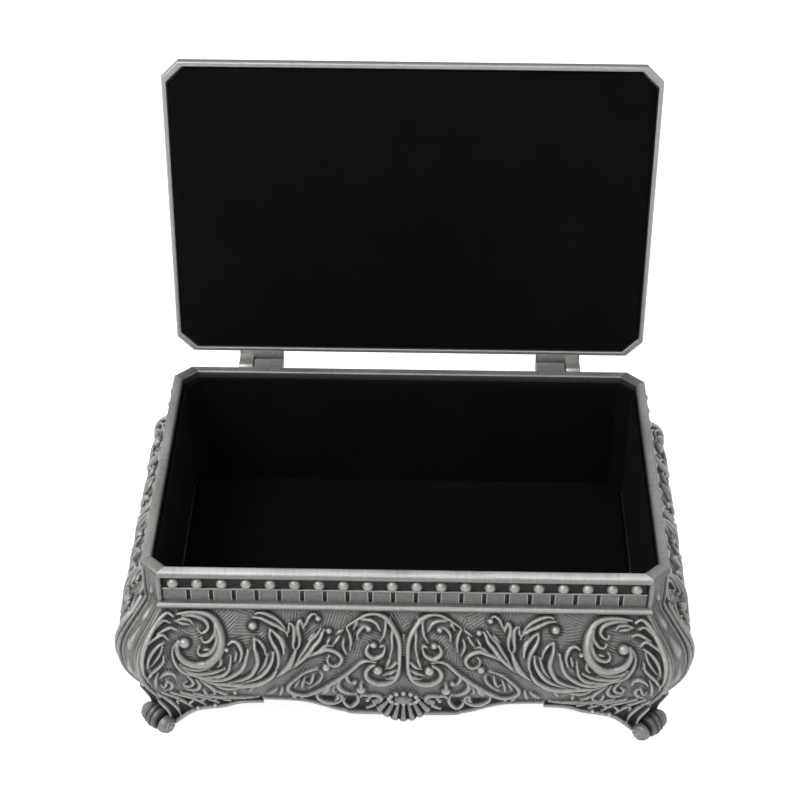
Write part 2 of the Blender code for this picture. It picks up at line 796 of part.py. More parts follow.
def make_base(steel, felt, velvet):
    low, high = base_levels()
    out = -RIM_LIP - FIT_GAP
    cut = corner_cut(out)
    make_plate("bottom_plate", [(out, cut, low), (out, cut, high)], steel)

    felt_out = -BASE_LIP_REACH - FIT_GAP
    felt_cut = corner_cut(felt_out)
    felt_top = low - FIT_GAP
    make_plate("base_felt", [(felt_out, felt_cut, felt_top - FELT), (felt_out, felt_cut, felt_top)], felt)

    pad_out = out - LINING - FIT_GAP
    pad_cut = corner_cut(pad_out)
    pad_low = high + FIT_GAP
    rings = [
        (pad_out, pad_cut, pad_low),
        (pad_out, pad_cut, pad_low + FLOOR_PAD - PAD_EDGE),
        (pad_out - PAD_EDGE, pad_cut, pad_low + FLOOR_PAD),
    ]
    make_plate("floor_pad", rings, velvet)


def lining_section():
    """The upright board of a wall's lining, as (out, drop)."""
    outer = -RIM_LIP - FIT_GAP
    inner = outer - LINING
    low = RIM_HEIGHT - base_levels()[1] - FIT_GAP
    ease = LINING / 3
    return [(outer, LINING_TOP), (outer, low), (inner, low), (inner, LINING_TOP + ease), (inner + ease, LINING_TOP)]


def make_linings(velvet):
    for name, plan, stations, turn in (
        ("front_lining", long_side, 4, 0.0),
        ("back_lining", long_side, 4, math.pi),
        ("right_lining", short_side, 2, 0.0),
        ("left_lining", short_side, 2, math.pi),
    ):
        bm = bmesh.new()
        add_swept(bm, lining_section(), plan, stations)
        lining = new_object(name, bm, velvet)
        lining.location = (0, BOX_Y, 0)
        lining.rotation_euler = (0, 0, turn)


# Hinge pins and lid


def make_pins(steel):
    for name, side in (("hinge_pin_left", -1), ("hinge_pin_right", 1)):
        bm = bmesh.new()
        half = HINGE_SPAN / 2
        add_prism(bm, circle(PIN_RADIUS, PIN_SIDES), -half, half)
        pin = new_object(name, bm, steel)
        pin.location = (side * KNUCKLE_CENTRE_X, AXIS_Y, AXIS_Z)


def add_lid_tabs(bm):
    """Flat tabs behind the lid's back edge, each as wide as its hinge, from the hinge axis."""
    for side in (-1, 1):
        middle = side * KNUCKLE_CENTRE_X
        half = HINGE_SPAN / 2
        add_box(
            bm,
            (middle - half, -HINGE_BACK - LID_LIP + FIT_GAP, LID_RISE),
            (middle + half, KNUCKLE_RADIUS, LID_RISE + TAB),
        )


def add_lid_knuckles(bm):
    """Knuckles with a square heel, which meets the box's back when the lid stands open."""
    top = LID_RISE + TAB / 2
    outline = [
        (-KNUCKLE_RADIUS, top),
        (-KNUCKLE_RADIUS, -HEEL + KNUCKLE_RADIUS / 2),
        (-KNUCKLE_RADIUS + HEEL_EASE, -HEEL),
        (KNUCKLE_RADIUS - HEEL_EASE / 4, -HEEL),
        (KNUCKLE_RADIUS, -HEEL + HEEL_EASE / 4),
        (KNUCKLE_RADIUS, top),
    ]
    for _, lid in hinge_spans().values():
        add_prism(bm, outline, *lid)


def lid_rings():
    """The lid's casting, from the ceiling of its hollow round the lip to its flat top."""
    recess = LID_PAD + LID_BOARD + 2 * FIT_GAP
    hollow_out = -LID_LIP - LID_SEAT
    ceiling = LID_EDGE + LID_DOME - LID_WALL
    rings = [
        (-LID_DOME_RUN, ceiling),
        (-LID_DOME_RUN / 2, ceiling - LID_DOME / 3),
        (hollow_out - LID_WALL, recess + FIT_GAP),
        (hollow_out, recess),
        (-LID_LIP, recess),
        (-LID_LIP, 0),
    ]
    rings += lid_outline()
    return [(out, CORNER_CUT, LID_RISE + rise) for out, rise in rings]


def make_lid(metal, velvet, card):
    hinge = bpy.data.objects.new("lid_hinge", None)
    hinge.location = (0, AXIS_Y, AXIS_Z)
    hinge.rotation_euler = (-OPEN_ANGLE, 0, 0)
    bpy.context.scene.collection.objects.link(hinge)

    middle = -HINGE_BACK - HALF_DEPTH
    lid = make_plate("lid_casting", lid_rings(), metal, hinge, middle)
    for name, operation, add in (
        ("tabs", "UNION", add_lid_tabs),
        ("knuckles", "UNION", add_lid_knuckles),
        ("bores", "DIFFERENCE", lambda bm: add_pin_bores(bm, 0.0, 0.0)),
    ):
        bm = bmesh.new()
        add(bm)
        combine(lid, operation, f"lid_{name}", bm)

    out = -LID_LIP - FIT_GAP
    board_low = LID_RISE + LID_PAD + FIT_GAP
    rings = [(out, CORNER_CUT, board_low), (out, CORNER_CUT, board_low + LID_BOARD)]
    make_plate("lid_board", rings, card, hinge, middle)
    rings = [
        (out - LID_PAD, CORNER_CUT, LID_RISE),
        (out, CORNER_CUT, LID_RISE + LID_PAD_CROWN),
        (out, CORNER_CUT, LID_RISE + LID_PAD),
    ]
    make_plate("lid_velvet", rings, velvet, hinge, middle)


def main():
    clear_scene()
    metal = make_material("antiqued_metal", (0.36, 0.35, 0.33), 0.38, 1.0)
    steel = make_material("pin_steel", (0.5, 0.5, 0.5), 0.3, 1.0)
    velvet = make_material("black_velvet", (0.012, 0.012, 0.016), 0.95, 0.0)
    felt = make_material("black_felt", (0.02, 0.02, 0.02), 1.0, 0.0)
    card = make_material("grey_card", (0.3, 0.28, 0.25), 0.9, 0.0)
    make_walls(metal)
    make_feet(metal)
    make_base(steel, felt, velvet)
    make_linings(velvet)
    make_pins(steel)
    make_lid(metal, velvet, card)


main()
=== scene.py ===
"""The looks of a cast metal trinket box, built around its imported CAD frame.

Lengths are in millimetres until a mesh is made. A point on a wall is (s, t): s runs along the wall from
its middle, and t runs down its surface from the foot of the cornice.
"""

import math

import bmesh
import bpy
import numpy as np
from mathutils import Matrix, Vector


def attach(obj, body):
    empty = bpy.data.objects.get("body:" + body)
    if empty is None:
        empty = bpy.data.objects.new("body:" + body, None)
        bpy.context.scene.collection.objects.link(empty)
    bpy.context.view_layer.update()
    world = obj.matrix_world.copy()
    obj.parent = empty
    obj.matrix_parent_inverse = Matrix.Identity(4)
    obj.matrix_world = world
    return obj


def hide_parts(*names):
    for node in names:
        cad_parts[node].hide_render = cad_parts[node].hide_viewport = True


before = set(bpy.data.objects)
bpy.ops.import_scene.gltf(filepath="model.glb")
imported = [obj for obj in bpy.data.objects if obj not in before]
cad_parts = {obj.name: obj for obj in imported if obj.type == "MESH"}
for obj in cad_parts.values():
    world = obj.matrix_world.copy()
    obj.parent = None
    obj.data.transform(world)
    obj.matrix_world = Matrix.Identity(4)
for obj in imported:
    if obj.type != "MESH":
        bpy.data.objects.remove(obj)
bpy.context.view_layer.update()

MM = 0.001

# The body, as in the CAD part
HALF_W = 74.0
HALF_D = 49.3
BOX_Y = -6.285
RIM_Z = 61.0
CUT = 5.06
FLARE = 0.22
# How much longer a wall's half grows for each millimetre out
SPREAD = 0.78
BASE_T = 36.7
AXIS_Y = 46.815
AXIS_Z = 58.4
OPEN_ANGLE = math.radians(94)
HINGE_BACK = 3.8
LID_RISE = 2.9
KNUCKLE_X = 47.2
BOX_KNUCKLE = 9.0
LID_KNUCKLE = 4.5
GAP = 0.3
HINGE_HALF = (BOX_KNUCKLE + GAP + LID_KNUCKLE) / 2
KNUCKLE_RADIUS = 2.4

# The belly's profile, as t against out from the rim and drop below it
PROFILE = [
    (-5, -0.3, 8.1), (0, -0.25, 13.1), (1.5, 0.76, 14.25), (4.8, 2.69, 16.88), (8.7, 5.21, 19.85),
    (12.1, 7.1, 22.64), (15.2, 8.11, 25.6), (18.2, 8.4, 28.56), (21.7, 8.19, 32.02), (25.9, 7.39, 36.13),
    (30.1, 5.96, 40.08), (33.7, 4.45, 43.37), (36.7, 3.11, 46.0), (39.8, 2.1, 49.0), (43.5, 0.9, 52.5),
    (47.8, 0.3, 56.8), (52.3, 0.1, 61.0), (57, 0.1, 65.7),
]
# The chased ground's height over the profile
GROUND = -0.85
# The third number of a place on the ornament: how far the metal is brushed there. It is 0 where it is chased.
BRUSHED = 90.0
HALF_BRUSHED = 40.0


def smoothed(values, sigma):
    """Values smoothed by a bell of sigma samples, with straight ends."""
    reach = int(3 * sigma) + 1
    kernel = np.exp(-0.5 * (np.arange(-reach, reach + 1) / sigma) ** 2)
    kernel /= kernel.sum()
    low = values[0] + (values[0] - values[1]) * np.arange(reach, 0, -1)
    high = values[-1] + (values[-1] - values[-2]) * np.arange(1, reach + 1)
    return np.convolve(np.concatenate([low, values, high]), kernel, mode="valid")


PROFILE_T = np.arange(-5, 57, 0.1)
_t, _o, _d = np.array(PROFILE).T
PROFILE_OUT = smoothed(np.interp(PROFILE_T, _t, _o), 9)
PROFILE_DROP = smoothed(np.interp(PROFILE_T, _t, _d), 9)
_slope_out = np.gradient(PROFILE_OUT, PROFILE_T)
_slope_drop = np.gradient(PROFILE_DROP, PROFILE_T)
_length = np.hypot(_slope_out, _slope_drop)
NORMAL_OUT = _slope_drop / _length
NORMAL_UP = _slope_out / _length


def belly(t, height):
    """(out, z) of a point at t that stands a height above the profile."""
    out = np.interp(t, PROFILE_T, PROFILE_OUT) + height * np.interp(t, PROFILE_T, NORMAL_OUT)
    z = RIM_Z - np.interp(t, PROFILE_T, PROFILE_DROP) + height * np.interp(t, PROFILE_T, NORMAL_UP)
    return out, z


def profile_out(t):
    return np.interp(t, PROFILE_T, PROFILE_OUT)


def cut_at(out):
    return CUT + FLARE * out


# Each wall's own frame: s along it, out from the rim's edge, z up


def to_front(s, out, z):
    return np.stack([s, BOX_Y - HALF_D - out, z], -1)


def to_back(s, out, z):
    return np.stack([-s, BOX_Y + HALF_D + out, z], -1)


def to_right(s, out, z):
    return np.stack([HALF_W + out, BOX_Y + s, z], -1)


def to_left(s, out, z):
    return np.stack([-HALF_W - out, BOX_Y - s, z], -1)


# Meshes


def quads_of(index):
    """The four-cornered faces between the rows and columns of an index."""
    return np.stack([index[:-1, :-1], index[:-1, 1:], index[1:, 1:], index[1:, :-1]], -1).reshape(-1, 4)


def per_point(value, count):
    """A value for each point, from one number or an array."""
    return np.full(count, float(value)) if np.ndim(value) == 0 else np.ravel(value)


class Shell:
    """The surfaces of one piece. tone is how bright the metal is painted at a point: its polish and patina,
    with painted highlights on crests and edges and painted shade in hollows and under overhangs. ground is how
    much of the chased ground shows there, and place is where it is on the ornament, in millimetres."""

    def __init__(self):
        self.points, self.loops, self.sizes = [], [], []
        self.tones, self.grounds, self.places = [], [], []
        self.count = 0

    def add(self, points, faces, tone=0.5, ground=0.0, place=None):
        points = np.asarray(points, float).reshape(-1, 3)
        n = len(points)
        self.points.append(points)
        for face_set in faces:
            face_set = np.asarray(face_set)
            self.loops.append((face_set + self.count).ravel())
            self.sizes.append(np.full(len(face_set), face_set.shape[1]))
        self.tones.append(per_point(tone, n))
        self.grounds.append(per_point(ground, n))
        self.places.append(points if place is None else np.asarray(place, float).reshape(-1, 3))
        self.count += n

    def grid(self, points, tone=0.5, ground=0.0, place=None, wrap_rows=False, wrap_cols=False, caps=False):
        """A surface through rows and columns of points. With caps, the first and last columns of a grid
        whose rows wrap are closed."""
        rows, cols = points.shape[:2]
        index = np.arange(rows * cols).reshape(rows, cols)
        around = np.vstack([index, index[:1]]) if wrap_rows else index
        around = np.hstack([around, around[:, :1]]) if wrap_cols else around
        faces = [quads_of(around)]
        if caps and wrap_rows:
            faces += [index[None, ::-1, 0], index[None, :, -1]]
        if caps and wrap_cols:
            faces += [index[None, 0, :], index[None, -1, ::-1]]
        self.add(points, faces, tone, ground, place)

    def ball(self, centre, axes, tone=0.8, sides=18, rings=11):
        """An ellipsoid. axes holds its three half axes as rows."""
        lat = np.linspace(-math.pi / 2, math.pi / 2, rings + 2)[1:-1]
        lon = np.linspace(0, 2 * math.pi, sides, endpoint=False)
        level = np.cos(lat)[:, None]
        unit = np.stack([level * np.cos(lon), level * np.sin(lon), np.sin(lat)[:, None] + 0 * lon], -1)
        unit = np.vstack([unit.reshape(-1, 3), [0, 0, -1], [0, 0, 1]])
        index = np.arange(rings * sides).reshape(rings, sides)
        index = np.hstack([index, index[:, :1]])
        south = np.stack([index[0, 1:], index[0, :-1], np.full(sides, rings * sides)], -1)
        north = np.stack([index[-1, :-1], index[-1, 1:], np.full(sides, rings * sides + 1)], -1)
        points = np.asarray(centre, float) + unit @ np.asarray(axes, float)
        self.add(points, [quads_of(index), south, north], tone)

    def prism(self, outline, x_low, x_high, bevel=0.3, tone=0.55, edge_tone=0.8):
        """A solid along X with an outline in (y, z) and softened ends."""
        outline = np.asarray(outline, float)
        middle = outline.mean(0)
        reach = np.abs(outline - middle).max()
        rows = []
        tones = []
        for x, inset in ((x_low, bevel), (x_low + bevel, 0), (x_high - bevel, 0), (x_high, bevel)):
            ring = middle + (outline - middle) * (1 - inset / reach)
            rows.append(np.column_stack([np.full(len(ring), x), ring]))
            tones.append(np.full(len(ring), edge_tone if inset == 0 else tone))
        self.grid(np.stack(rows, 0), np.stack(tones, 0), wrap_cols=True, caps=True)

    def make(self, name, material, sharp=50.0, matrix=None):
        points = np.concatenate(self.points) * MM
        if matrix is not None:
            m = np.array(matrix)
            points = points @ m[:3, :3].T + m[:3, 3]
        loops = np.concatenate(self.loops).astype(np.int32)
        sizes = np.concatenate(self.sizes).astype(np.int32)
        mesh = bpy.data.meshes.new(name)
        mesh.vertices.add(len(points))
        mesh.vertices.foreach_set("co", points.ravel())
        mesh.loops.add(len(loops))
        mesh.loops.foreach_set("vertex_index", loops)
        mesh.polygons.add(len(sizes))
        mesh.polygons.foreach_set("loop_start", np.concatenate([[0], np.cumsum(sizes)[:-1]]).astype(np.int32))
        mesh.polygons.foreach_set("use_smooth", np.ones(len(sizes), bool))
        mesh.update(calc_edges=True)
        for key, values in (("tone", self.tones), ("ground", self.grounds)):
            data = mesh.attributes.new(key, "FLOAT", "POINT")
            data.data.foreach_set("value", np.concatenate(values).astype(np.float32))
        data = mesh.attributes.new("place", "FLOAT_VECTOR", "POINT")
        data.data.foreach_set("vector", np.concatenate(self.places).astype(np.float32).ravel())
        work = bmesh.new()
        work.from_mesh(mesh)
        bmesh.ops.recalc_face_normals(work, faces=work.faces)
        work.to_mesh(mesh)
        work.free()
        if sharp:
            mesh.set_sharp_from_angle(angle=math.radians(sharp))
        obj = bpy.data.objects.new(name, mesh)
        bpy.context.scene.collection.objects.link(obj)
        mesh.materials.append(material)
        return obj


def piece(obj, body, replaced=()):
    """Sets what a finished piece rides on, and hides the CAD nodes it stands for."""
    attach(obj, body)
    if replaced:
        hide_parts(*replaced)
    return obj


# Chased relief, drawn as tapered strokes on a fine raster of (s, t)

RASTER = 0.1


def spline(points, step=0.12):
    """A smooth curve through points, as evenly spaced samples."""
    p = np.asarray(points, float)
    if len(p) == 2:
        p = np.vstack([p[0], (p[0] + p[1]) / 2, p[1]])
    ext = np.vstack([2 * p[0] - p[1], p, 2 * p[-1] - p[-2]])
    u = np.linspace(0, 1, 16, endpoint=False)[:, None]
    parts = []
    for a, b, c, d in zip(ext[:-3], ext[1:-2], ext[2:-1], ext[3:]):
        square, cube = 2 * a - 5 * b + 4 * c - d, 3 * b - a - 3 * c + d
        parts.append(0.5 * (2 * b + (c - a) * u + square * u**2 + cube * u**3))
    dense = np.vstack([*parts, p[-1:]])
    along = np.concatenate([[0], np.cumsum(np.linalg.norm(np.diff(dense, axis=0), axis=1))])
    n = max(4, int(along[-1] / step))
    even = np.linspace(0, along[-1], n)
    return np.column_stack([np.interp(even, along, dense[:, 0]), np.interp(even, along, dense[:, 1])])


def blurred(field, sigma):
    """A raster smoothed by a bell of sigma millimetres."""
    fy = np.fft.fftfreq(field.shape[0], RASTER)[:, None]
    fx = np.fft.rfftfreq(field.shape[1], RASTER)[None, :]
    bell = np.exp(-2 * (math.pi * sigma) ** 2 * (fy**2 + fx**2))
    return np.fft.irfft2(np.fft.rfft2(field) * bell, s=field.shape)


def both_sides(s):
    """1, and -1 too where a form near the middle also shows on the other half."""
    return (1, -1) if s < 6 else (1,)


class Relief:
    """Half of a wall's ornament as rasters: ridges, the low ledges under them and broad leaves."""

    def __init__(self, s_low, s_high, t_low, t_high):
        self.s_low, self.t_low = s_low, t_low
        self.cols = int((s_high - s_low) / RASTER) + 1
        self.rows = int((t_high - t_low) / RASTER) + 1
        self.ridge = np.zeros((self.rows, self.cols))
        self.under = np.zeros((self.rows, self.cols))
        self.leaf = np.zeros((self.rows, self.cols))

    def dab(self, layer, s, t, radius, rise, power, squash=1.0):
        """Raises a layer to a rounded dab, where the dab is higher."""
        col = (s - self.s_low) / RASTER
        row = (t - self.t_low) / RASTER
        reach = int(radius / RASTER * max(1.0, squash)) + 2
        c0, c1 = max(0, int(col) - reach), min(self.cols, int(col) + reach + 1)
        r0, r1 = max(0, int(row) - reach), min(self.rows, int(row) + reach + 1)
        if c0 >= c1 or r0 >= r1:
            return
        dx = (np.arange(c0, c1) - col) * (RASTER / radius)
        dy = (np.arange(r0, r1) - row) * (RASTER / radius / squash)
        left = np.clip(1 - dx[None, :] ** 2 - dy[:, None] ** 2, 0, None)
        window = layer[r0:r1, c0:c1]
        np.maximum(window, rise * left**power, out=window)

    def stroke(self, points, width, start=0.5, end=0.3, rise=None):
        """A ridge that swells from its start and tapers to its end, over a low broad ledge."""
        samples = spline(points)
        u = np.linspace(0, 1, len(samples))
        taper = np.minimum(start + (1 - start) * np.sin(np.clip(u / 0.5, 0, 1) * math.pi / 2),
                           end + (1 - end) * np.sin(np.clip((1 - u) / 0.6, 0, 1) * math.pi / 2))
        height = rise if rise is not None else min(1.2, 0.32 + 0.4 * width)
        for (s, t), k in zip(samples, taper):
            radius = max(0.28, width / 2 * k)
            for side in both_sides(s):
                self.dab(self.ridge, side * s, t, radius, height * (0.55 + 0.45 * k), 0.6)
        for (s, t), k in zip(samples[::4], taper[::4]):
            for side in both_sides(s):
                self.dab(self.under, side * s, t, width / 2 * k + 0.6, 0.24, 0.5)

    def body(self, points, width):
        """A broad low leaf, under the ridges that vein it."""
        samples = spline(points)[::3]
        taper = np.sin(np.pi * np.linspace(0.12, 0.95, len(samples))) ** 0.6
        for (s, t), k in zip(samples, taper):
            for side in both_sides(s):
                self.dab(self.leaf, side * s, t, width / 2 * k, 1.0, 0.35)

    def knob(self, s, t, radius, rise=None, squash=1.0):
        height = rise or min(1.5, 0.5 + 0.7 * radius)
        for side in both_sides(s):
            self.dab(self.ridge, side * s, t, radius, height, 0.5, squash)
            self.dab(self.under, side * s, t, radius + 0.5, 0.24, 0.5, squash)

    def finish(self, recess=None):
        """Works out height, tone and ground once all strokes are laid. recess(s, t) is 1 where the ground is
        sunk and painted black as its shadow."""
        leaf = blurred(self.leaf, 0.12)
        bare = np.clip(1 - blurred(self.ridge, 0.08) / 0.3, 0, 1) * np.clip(1 - leaf / 0.5, 0, 1)
        sunk = 0
        if recess is not None:
            s = self.s_low + RASTER * np.arange(self.cols)[None, :]
            t = self.t_low + RASTER * np.arange(self.rows)[:, None]
            sunk = recess(np.abs(s), t)
        self.height = blurred(self.ridge + self.under - 0.45 * sunk * bare, 0.08) + 0.3 * leaf
        hollow = blurred(self.height, 0.5) - self.height
        crowd = np.clip(blurred(self.height, 1.3) - 0.22, 0, 0.5)
        # Tone: darker in hollows and on ground crowded by strokes, which is patina with painted shade; lighter
        # on crests, which is polish with painted highlight; the sunk ground is painted shadow.
        tone = 0.44 - 1.5 * np.clip(hollow, 0, 1) + 0.5 * np.clip(-hollow, 0, 1)
        tone = tone + 0.13 * np.clip(self.height, 0, 2)
        self.tone = np.clip(tone - 0.35 * crowd * bare - 0.42 * sunk * bare, 0.02, 1)
        self.ground = bare * (1 - sunk) * np.clip(1 - 2.2 * crowd, 0, 1)

    def read(self, field, s, t):
        col = np.clip((s - self.s_low) / RASTER, 0, self.cols - 1.001)
        row = np.clip((t - self.t_low) / RASTER, 0, self.rows - 1.001)
        c, r = col.astype(int), row.astype(int)
        fc, fr = col - c, row - r
        top = field[r, c] * (1 - fc) + field[r, c + 1] * fc
        low = field[r + 1, c] * (1 - fc) + field[r + 1, c + 1] * fc
        return top * (1 - fr) + low * fr


# The ornament of a long wall's right half. A ridge is its width and its points, a knob is o with its radius
# and its point, and a leaf's body is b with its width and its points.

CENTRE = """
b4.2 2.9 20 2.6 16 2.5 12 3 8.4 4.6 5.4 7.4 3.4 10.4 3.2 13 4.2
1.3 1.3 19.5 1.15 17 1.1 14 1.1 10 1.6 7.5 2.7 5.2 4 3.2 5.5 1.8 8 .9 10.6 1.3 13.3 2.7 16.1 4.7
.8 3.9 1.8 3.3 4.4 3.4 7.4 3.3 10.3 3.9 13.5
.8 5.5 2.5 5.2 3.8 5.4 5.9 5.9 7.4 6.8 8.9
.7 5.4 9.7 6.7 10.3
.9 6.8 5.5 7.7 3.8 8.9 2.9 10.2 2.6 13.3 2.5
o1.0 10 5.2
.9 10.4 4.4 11.8 5 13 6.5 13.1 8.2
.8 13 2.6 14.2 5.3
1.2 9.8 9.7 10.5 11.2 10.1 12.6 8.6 13.7 7.1 13.4 5.9 12.5 5.4 11.2 5.2 10.2
o1.1 8.5 9.8
1.4 8.3 16 9.8 17.1 10.6 18.8 10.4 20.9 9.2 22.6 7.1 23.8 4.8 23.5 2.7 21.8 1.7 19.4 1.3 17 1.15 14
o1.5 7.3 17.9
.8 1.8 14.7 3.6 16.5 5.1 17.4
.8 2.1 17.6 3.9 18.8 5.8 20
.8 2.4 20 3.9 21.2 5 21.5
.8 3.9 13.5 4.5 15.5 4.9 17
"""

STEM = """
1.2 8 15 10.1 14.6 12.1 15.3 13.9 17.1 15.6 19.1 17.4 20.9 19.2 22.9 21.2 25 23.3 27.4 25.4 29.4 27.4 \
31.2 29.2 31.5 31.2 30.6 32.7 28.8 32.9 26.5 31.8 24.1 30.1 21.8 28.3 19.7 26.2 18.5 24.2 17.8
1 15.6 19.1 16.1 20.9 15.6 22.6 14.8 23.5 13.9 23.2
o.8 13.9 23.2
1.2 18 22.1 18.6 24.4 18.3 26.5 17.1 28.5 15.4 29.7 13.6 30.1
.8 18.9 23.5 19.9 25.9 20.1 28.2 19.5 30
1.6 21.2 25.6 22.1 27.6 23 29.4
o1.5 12.1 27.1
.9 12.1 27.1 12.1 24.5 12 23.6
o1.2 21.8 17.1
1.2 12.4 32.4 11.8 30.9 9.8 30.9 7.7 30.9 6.5 32.6 6.5 34.7 7.4 37.1 9.2 39.4 10.9 40.9
.8 9.4 32.6 10.4 34.7
o.8 10.4 34.7
1.1 13.4 31.2 13 33.5 13.3 36.5 14.5 39.1 15.6 39.9 16.8 38.5 17.3 36.5 16.8 33.8
1.1 18.3 31.2 17.7 32.6 18 35.3 19.2 37.1 20.9 37.9 23 37.1 24.5 34.7 24.9 32.4 24.6 30.3
.9 18.9 31.2 18.9 33.8 19.8 36.2
.9 28.9 32 29.5 34.1
.9 32.1 31.2 30.9 34.1
.8 23.3 19.4 23 20.6 23.9 22.9 25.4 25 27.1 27.1
.8 25.5 20 25.9 22.4 26.7 24.4 27.7 23.5
.8 28 21.8 28.7 24.4 28.9 27.4
.8 29.5 22.4 30.5 25 30.9 26.8
1.1 30.4 15.9 28.6 14.4 25.9 12.9 23 11.8 21.5 11.3 19.5 11.8 18 12.9 17.4 14.4 18.4 16.2 19.9 16.6 21.2 \
15.6 21.4 14.1 20.9 13.2
.7 24.5 12.1 23 10.9 21.5 10.1 19.8 10.3
.9 16.2 5 15.4 6.5 14.9 8.8 15.1 11.2
.8 17.1 5.4 18.3 6.2 19 6.8
.8 18 7.1 18.9 8.5 19.8 9.7
.8 16.8 8.2 17.1 10 16.5 11.8 16.1 12.6
"""

PLUMES = """
b2 23 6.6 25.4 9.8 28 13 31 16.6
b2.2 34.8 6 34 9 33.4 12 34 15.6 35.4 19
o1.0 21.1 5.9
1.2 22.4 5.6 23 6.8 23.6 8.5 25.1 10.3 26.8 12.6 28.9 15 30.6 16.8 32 18
.9 23.3 5.3 24.8 7.4 26.2 8.8 27.7 11.2 29.2 13.5 30.6 16.2
.7 25.1 6.5 27 8.5
.7 20.8 8 21.8 9.9
o1.0 24.2 2.5
.9 24.5 1.5 25.6 1.2 26.7 2.1 27.4 3.5 28.3 5.5
1.1 28.3 5.3 28.9 3.5 29.3 3.1 29.8 4.1 29.8 5.9 29.3 8.2 29.5 10.3 30.4 11.8
1.1 32.3 4 31.4 4.4 30.9 5.9 30.9 8.2 31.1 10.3 30.4 11.8
.7 32.4 4.4 32.4 5.9 32.9 7.1
1.5 30.4 11.8 31.2 14.1 32.4 16.8 34.2 19.1 35.9 20.9
o1.4 42.6 4.8
1.1 42.5 2.4 40.4 2.6 38.4 3.5 37 4.2 35.4 4.9 33.3 6.4 32.7 7.6
1.1 41.9 1.5 40.7 1.1 38.6 1.5 36.5 2.5 34.8 3.8 33.3 5.6
1.1 37.7 5.6 36.2 6.8 34.8 8.5 33.9 10.6 33.7 12.9
.8 34.3 7.9 33.3 10.9
1.1 37.7 5.6 37.7 7.6 36.8 9.7 35.6 11.8 35.2 14.1 35.4 16.5 36.2 18.8
"""

FRONDS = """
b2.2 37 12.6 38 16.4 40.2 20 43.6 22.8
b2.4 42.4 9 42.6 13 43.4 17 46 21
b2.6 45 14 46.6 17.4 49.4 20.4 53 22
1.5 36 18.8 37.3 21.3 39.4 23.4 42 25.1 44.8 25.6 47.8 25.3 51.3 25 53.6 24.7 56 23.5 57.8 22.3
1.1 36.6 12.4 36.9 14.7 38.1 17.4 39.8 20 41.9 22.1 43.9 23.5 46.3 24.4
.8 38.2 12.9 39.3 16.5 41.3 20
1.2 42 8.2 41.9 10.9 41.3 13.2 41.1 15.6 41.9 18.2 43.1 20.6 45.1 22.4 47.8 23.8 50 24.3
.9 42 8.2 40.4 9.4 39.2 11.2 38.8 13.2
1.3 43.8 11.8 44.2 13.8 44.8 16.5 46 18.8 47.8 20.6 49.8 22.1 51.9 22.9 54.2 22.9 56.6 22.1 58.9 20.9 61 \
20.3 62.8 19.1 64.2 16.8 65 14.1 65 11.8 64.2 10
.8 47 12.9 47.6 15.6
.9 48.6 14.1 48.9 16.5 49.5 18.8 51 20.6 53.1 21.5 55.1 21.8 58.1 21.2 61 19.7
1.1 49.5 10.3 48.1 9.3 46.6 10 45.7 11.8 45.6 13.2 46.2 15.5
o.8 49.8 11.8
"""

VOLUTE = """
b2.6 53 5 52 9 53 12.6 55.6 15.4
b2.2 70.6 6.8 72.4 12 72.6 17 71.6 22
b2.4 55 19.2 59 19.4 63 17.8
o1.7 61.7 10
2.0 63.4 9.6 63.8 11.5 63.4 13.5 61.9 15.6 59.5 16.9 57.2 17.1 54.8 16.2 52.8 14.1 51.6 11.8 51.3 8.8 \
51.9 5.9 53.4 3.2 55.4 1.8 58.4 1.2 61.3 1.3 63.9 1.8
1.1 62.5 2.2 59.5 2.2 57.2 2.8 55.7 3.8 55.1 5.3 55.7 6.5 56.9 7.1 57.8 6.3
1 53.6 3.8 53.1 5.9 53.4 7.6 54.8 9.4 56.3 9.6 57 8.5
1.1 52.5 7.1 52.8 9.7 53.9 12.1 55.7 13.5 57.5 13.4 57.9 12.1 57.3 11
.7 54.8 11.6 56.3 12.1
.8 51.4 14.4 51.6 16.5 52.5 17.7
.9 53.6 16.9 56 18.2 58.9 18.5 61.3 17.9 63.1 16.5
.9 50.4 18.2 52.5 19.4 55.1 20.3 58.4 20.3 61 19.1 63.3 17
.9 59.5 4.4 60.4 3.5 62.5 3.2 64.5 3.8
.8 60.4 4.7 62.5 4.4 64.5 3.8
1.4 65 2.4 66.6 1.5 68.4 2.9 69.8 5 71.3 7.4 72.5 10.3 73.4 13.2 73.8 16.5 73.6 20.6 73 23.5
.9 66 4.3 67.4 3.7 68.9 4.7 70.4 6.5 71.9 9.4
.9 63.9 6.3 65.6 5.7 67.5 6.5 69.5 7.6
.9 66.3 9.1 67.9 7.8 69.8 8.8 72.2 10.9
1 67.5 10 69.2 11.2 71 13.5 72 16.2 72.2 18.2
.7 67.8 10.9 68.6 13.5 70.4 16.5 71.3 17.9
.9 67.6 14.3 67.8 16.2 69.2 18.2 71 20.3 72.5 22.9 72.8 25.3
.8 69.5 20.6 70.4 23.5 70.6 26.5 70.7 28.8
1 64.7 22.4 65.1 20.9 66.6 20.3 68.4 21.5 69.3 23.2
.9 67.2 24.1 66 25.6 66.3 27.9 67.8 29.7 68.7 30.3
.8 67.2 24.1 67.8 26.5 68.6 27.9 69.1 26.5
1 58.9 23.2 58.1 25.3 58.4 27.6 59.5 28.8 61.6 28.7 62.6 27.4
.9 61.3 21.5 60.1 23.5 59.8 25 60.7 26.6 62.2 26.5 62.6 25.3 61.6 24.4
1 57.8 23.2 56.3 25 54.8 27.4 54.1 29.7 54.4 32.1 56 32.9
.8 57.2 29.1 56.9 31.2 56.3 32.9
.9 53.6 25.9 51.9 27.4 50.1 27.9 47.8 27.6 45.4 27.4
.9 53.9 28.8 52.5 30.6 50.7 32.4
.8 48.4 29.4 48.4 32.4
"""

EDGE_LEAVES = """
.8 42.8 26.5 44.2 30
.9 34.5 27 35.5 32.5
.9 36 27.5 39 31.5
"""

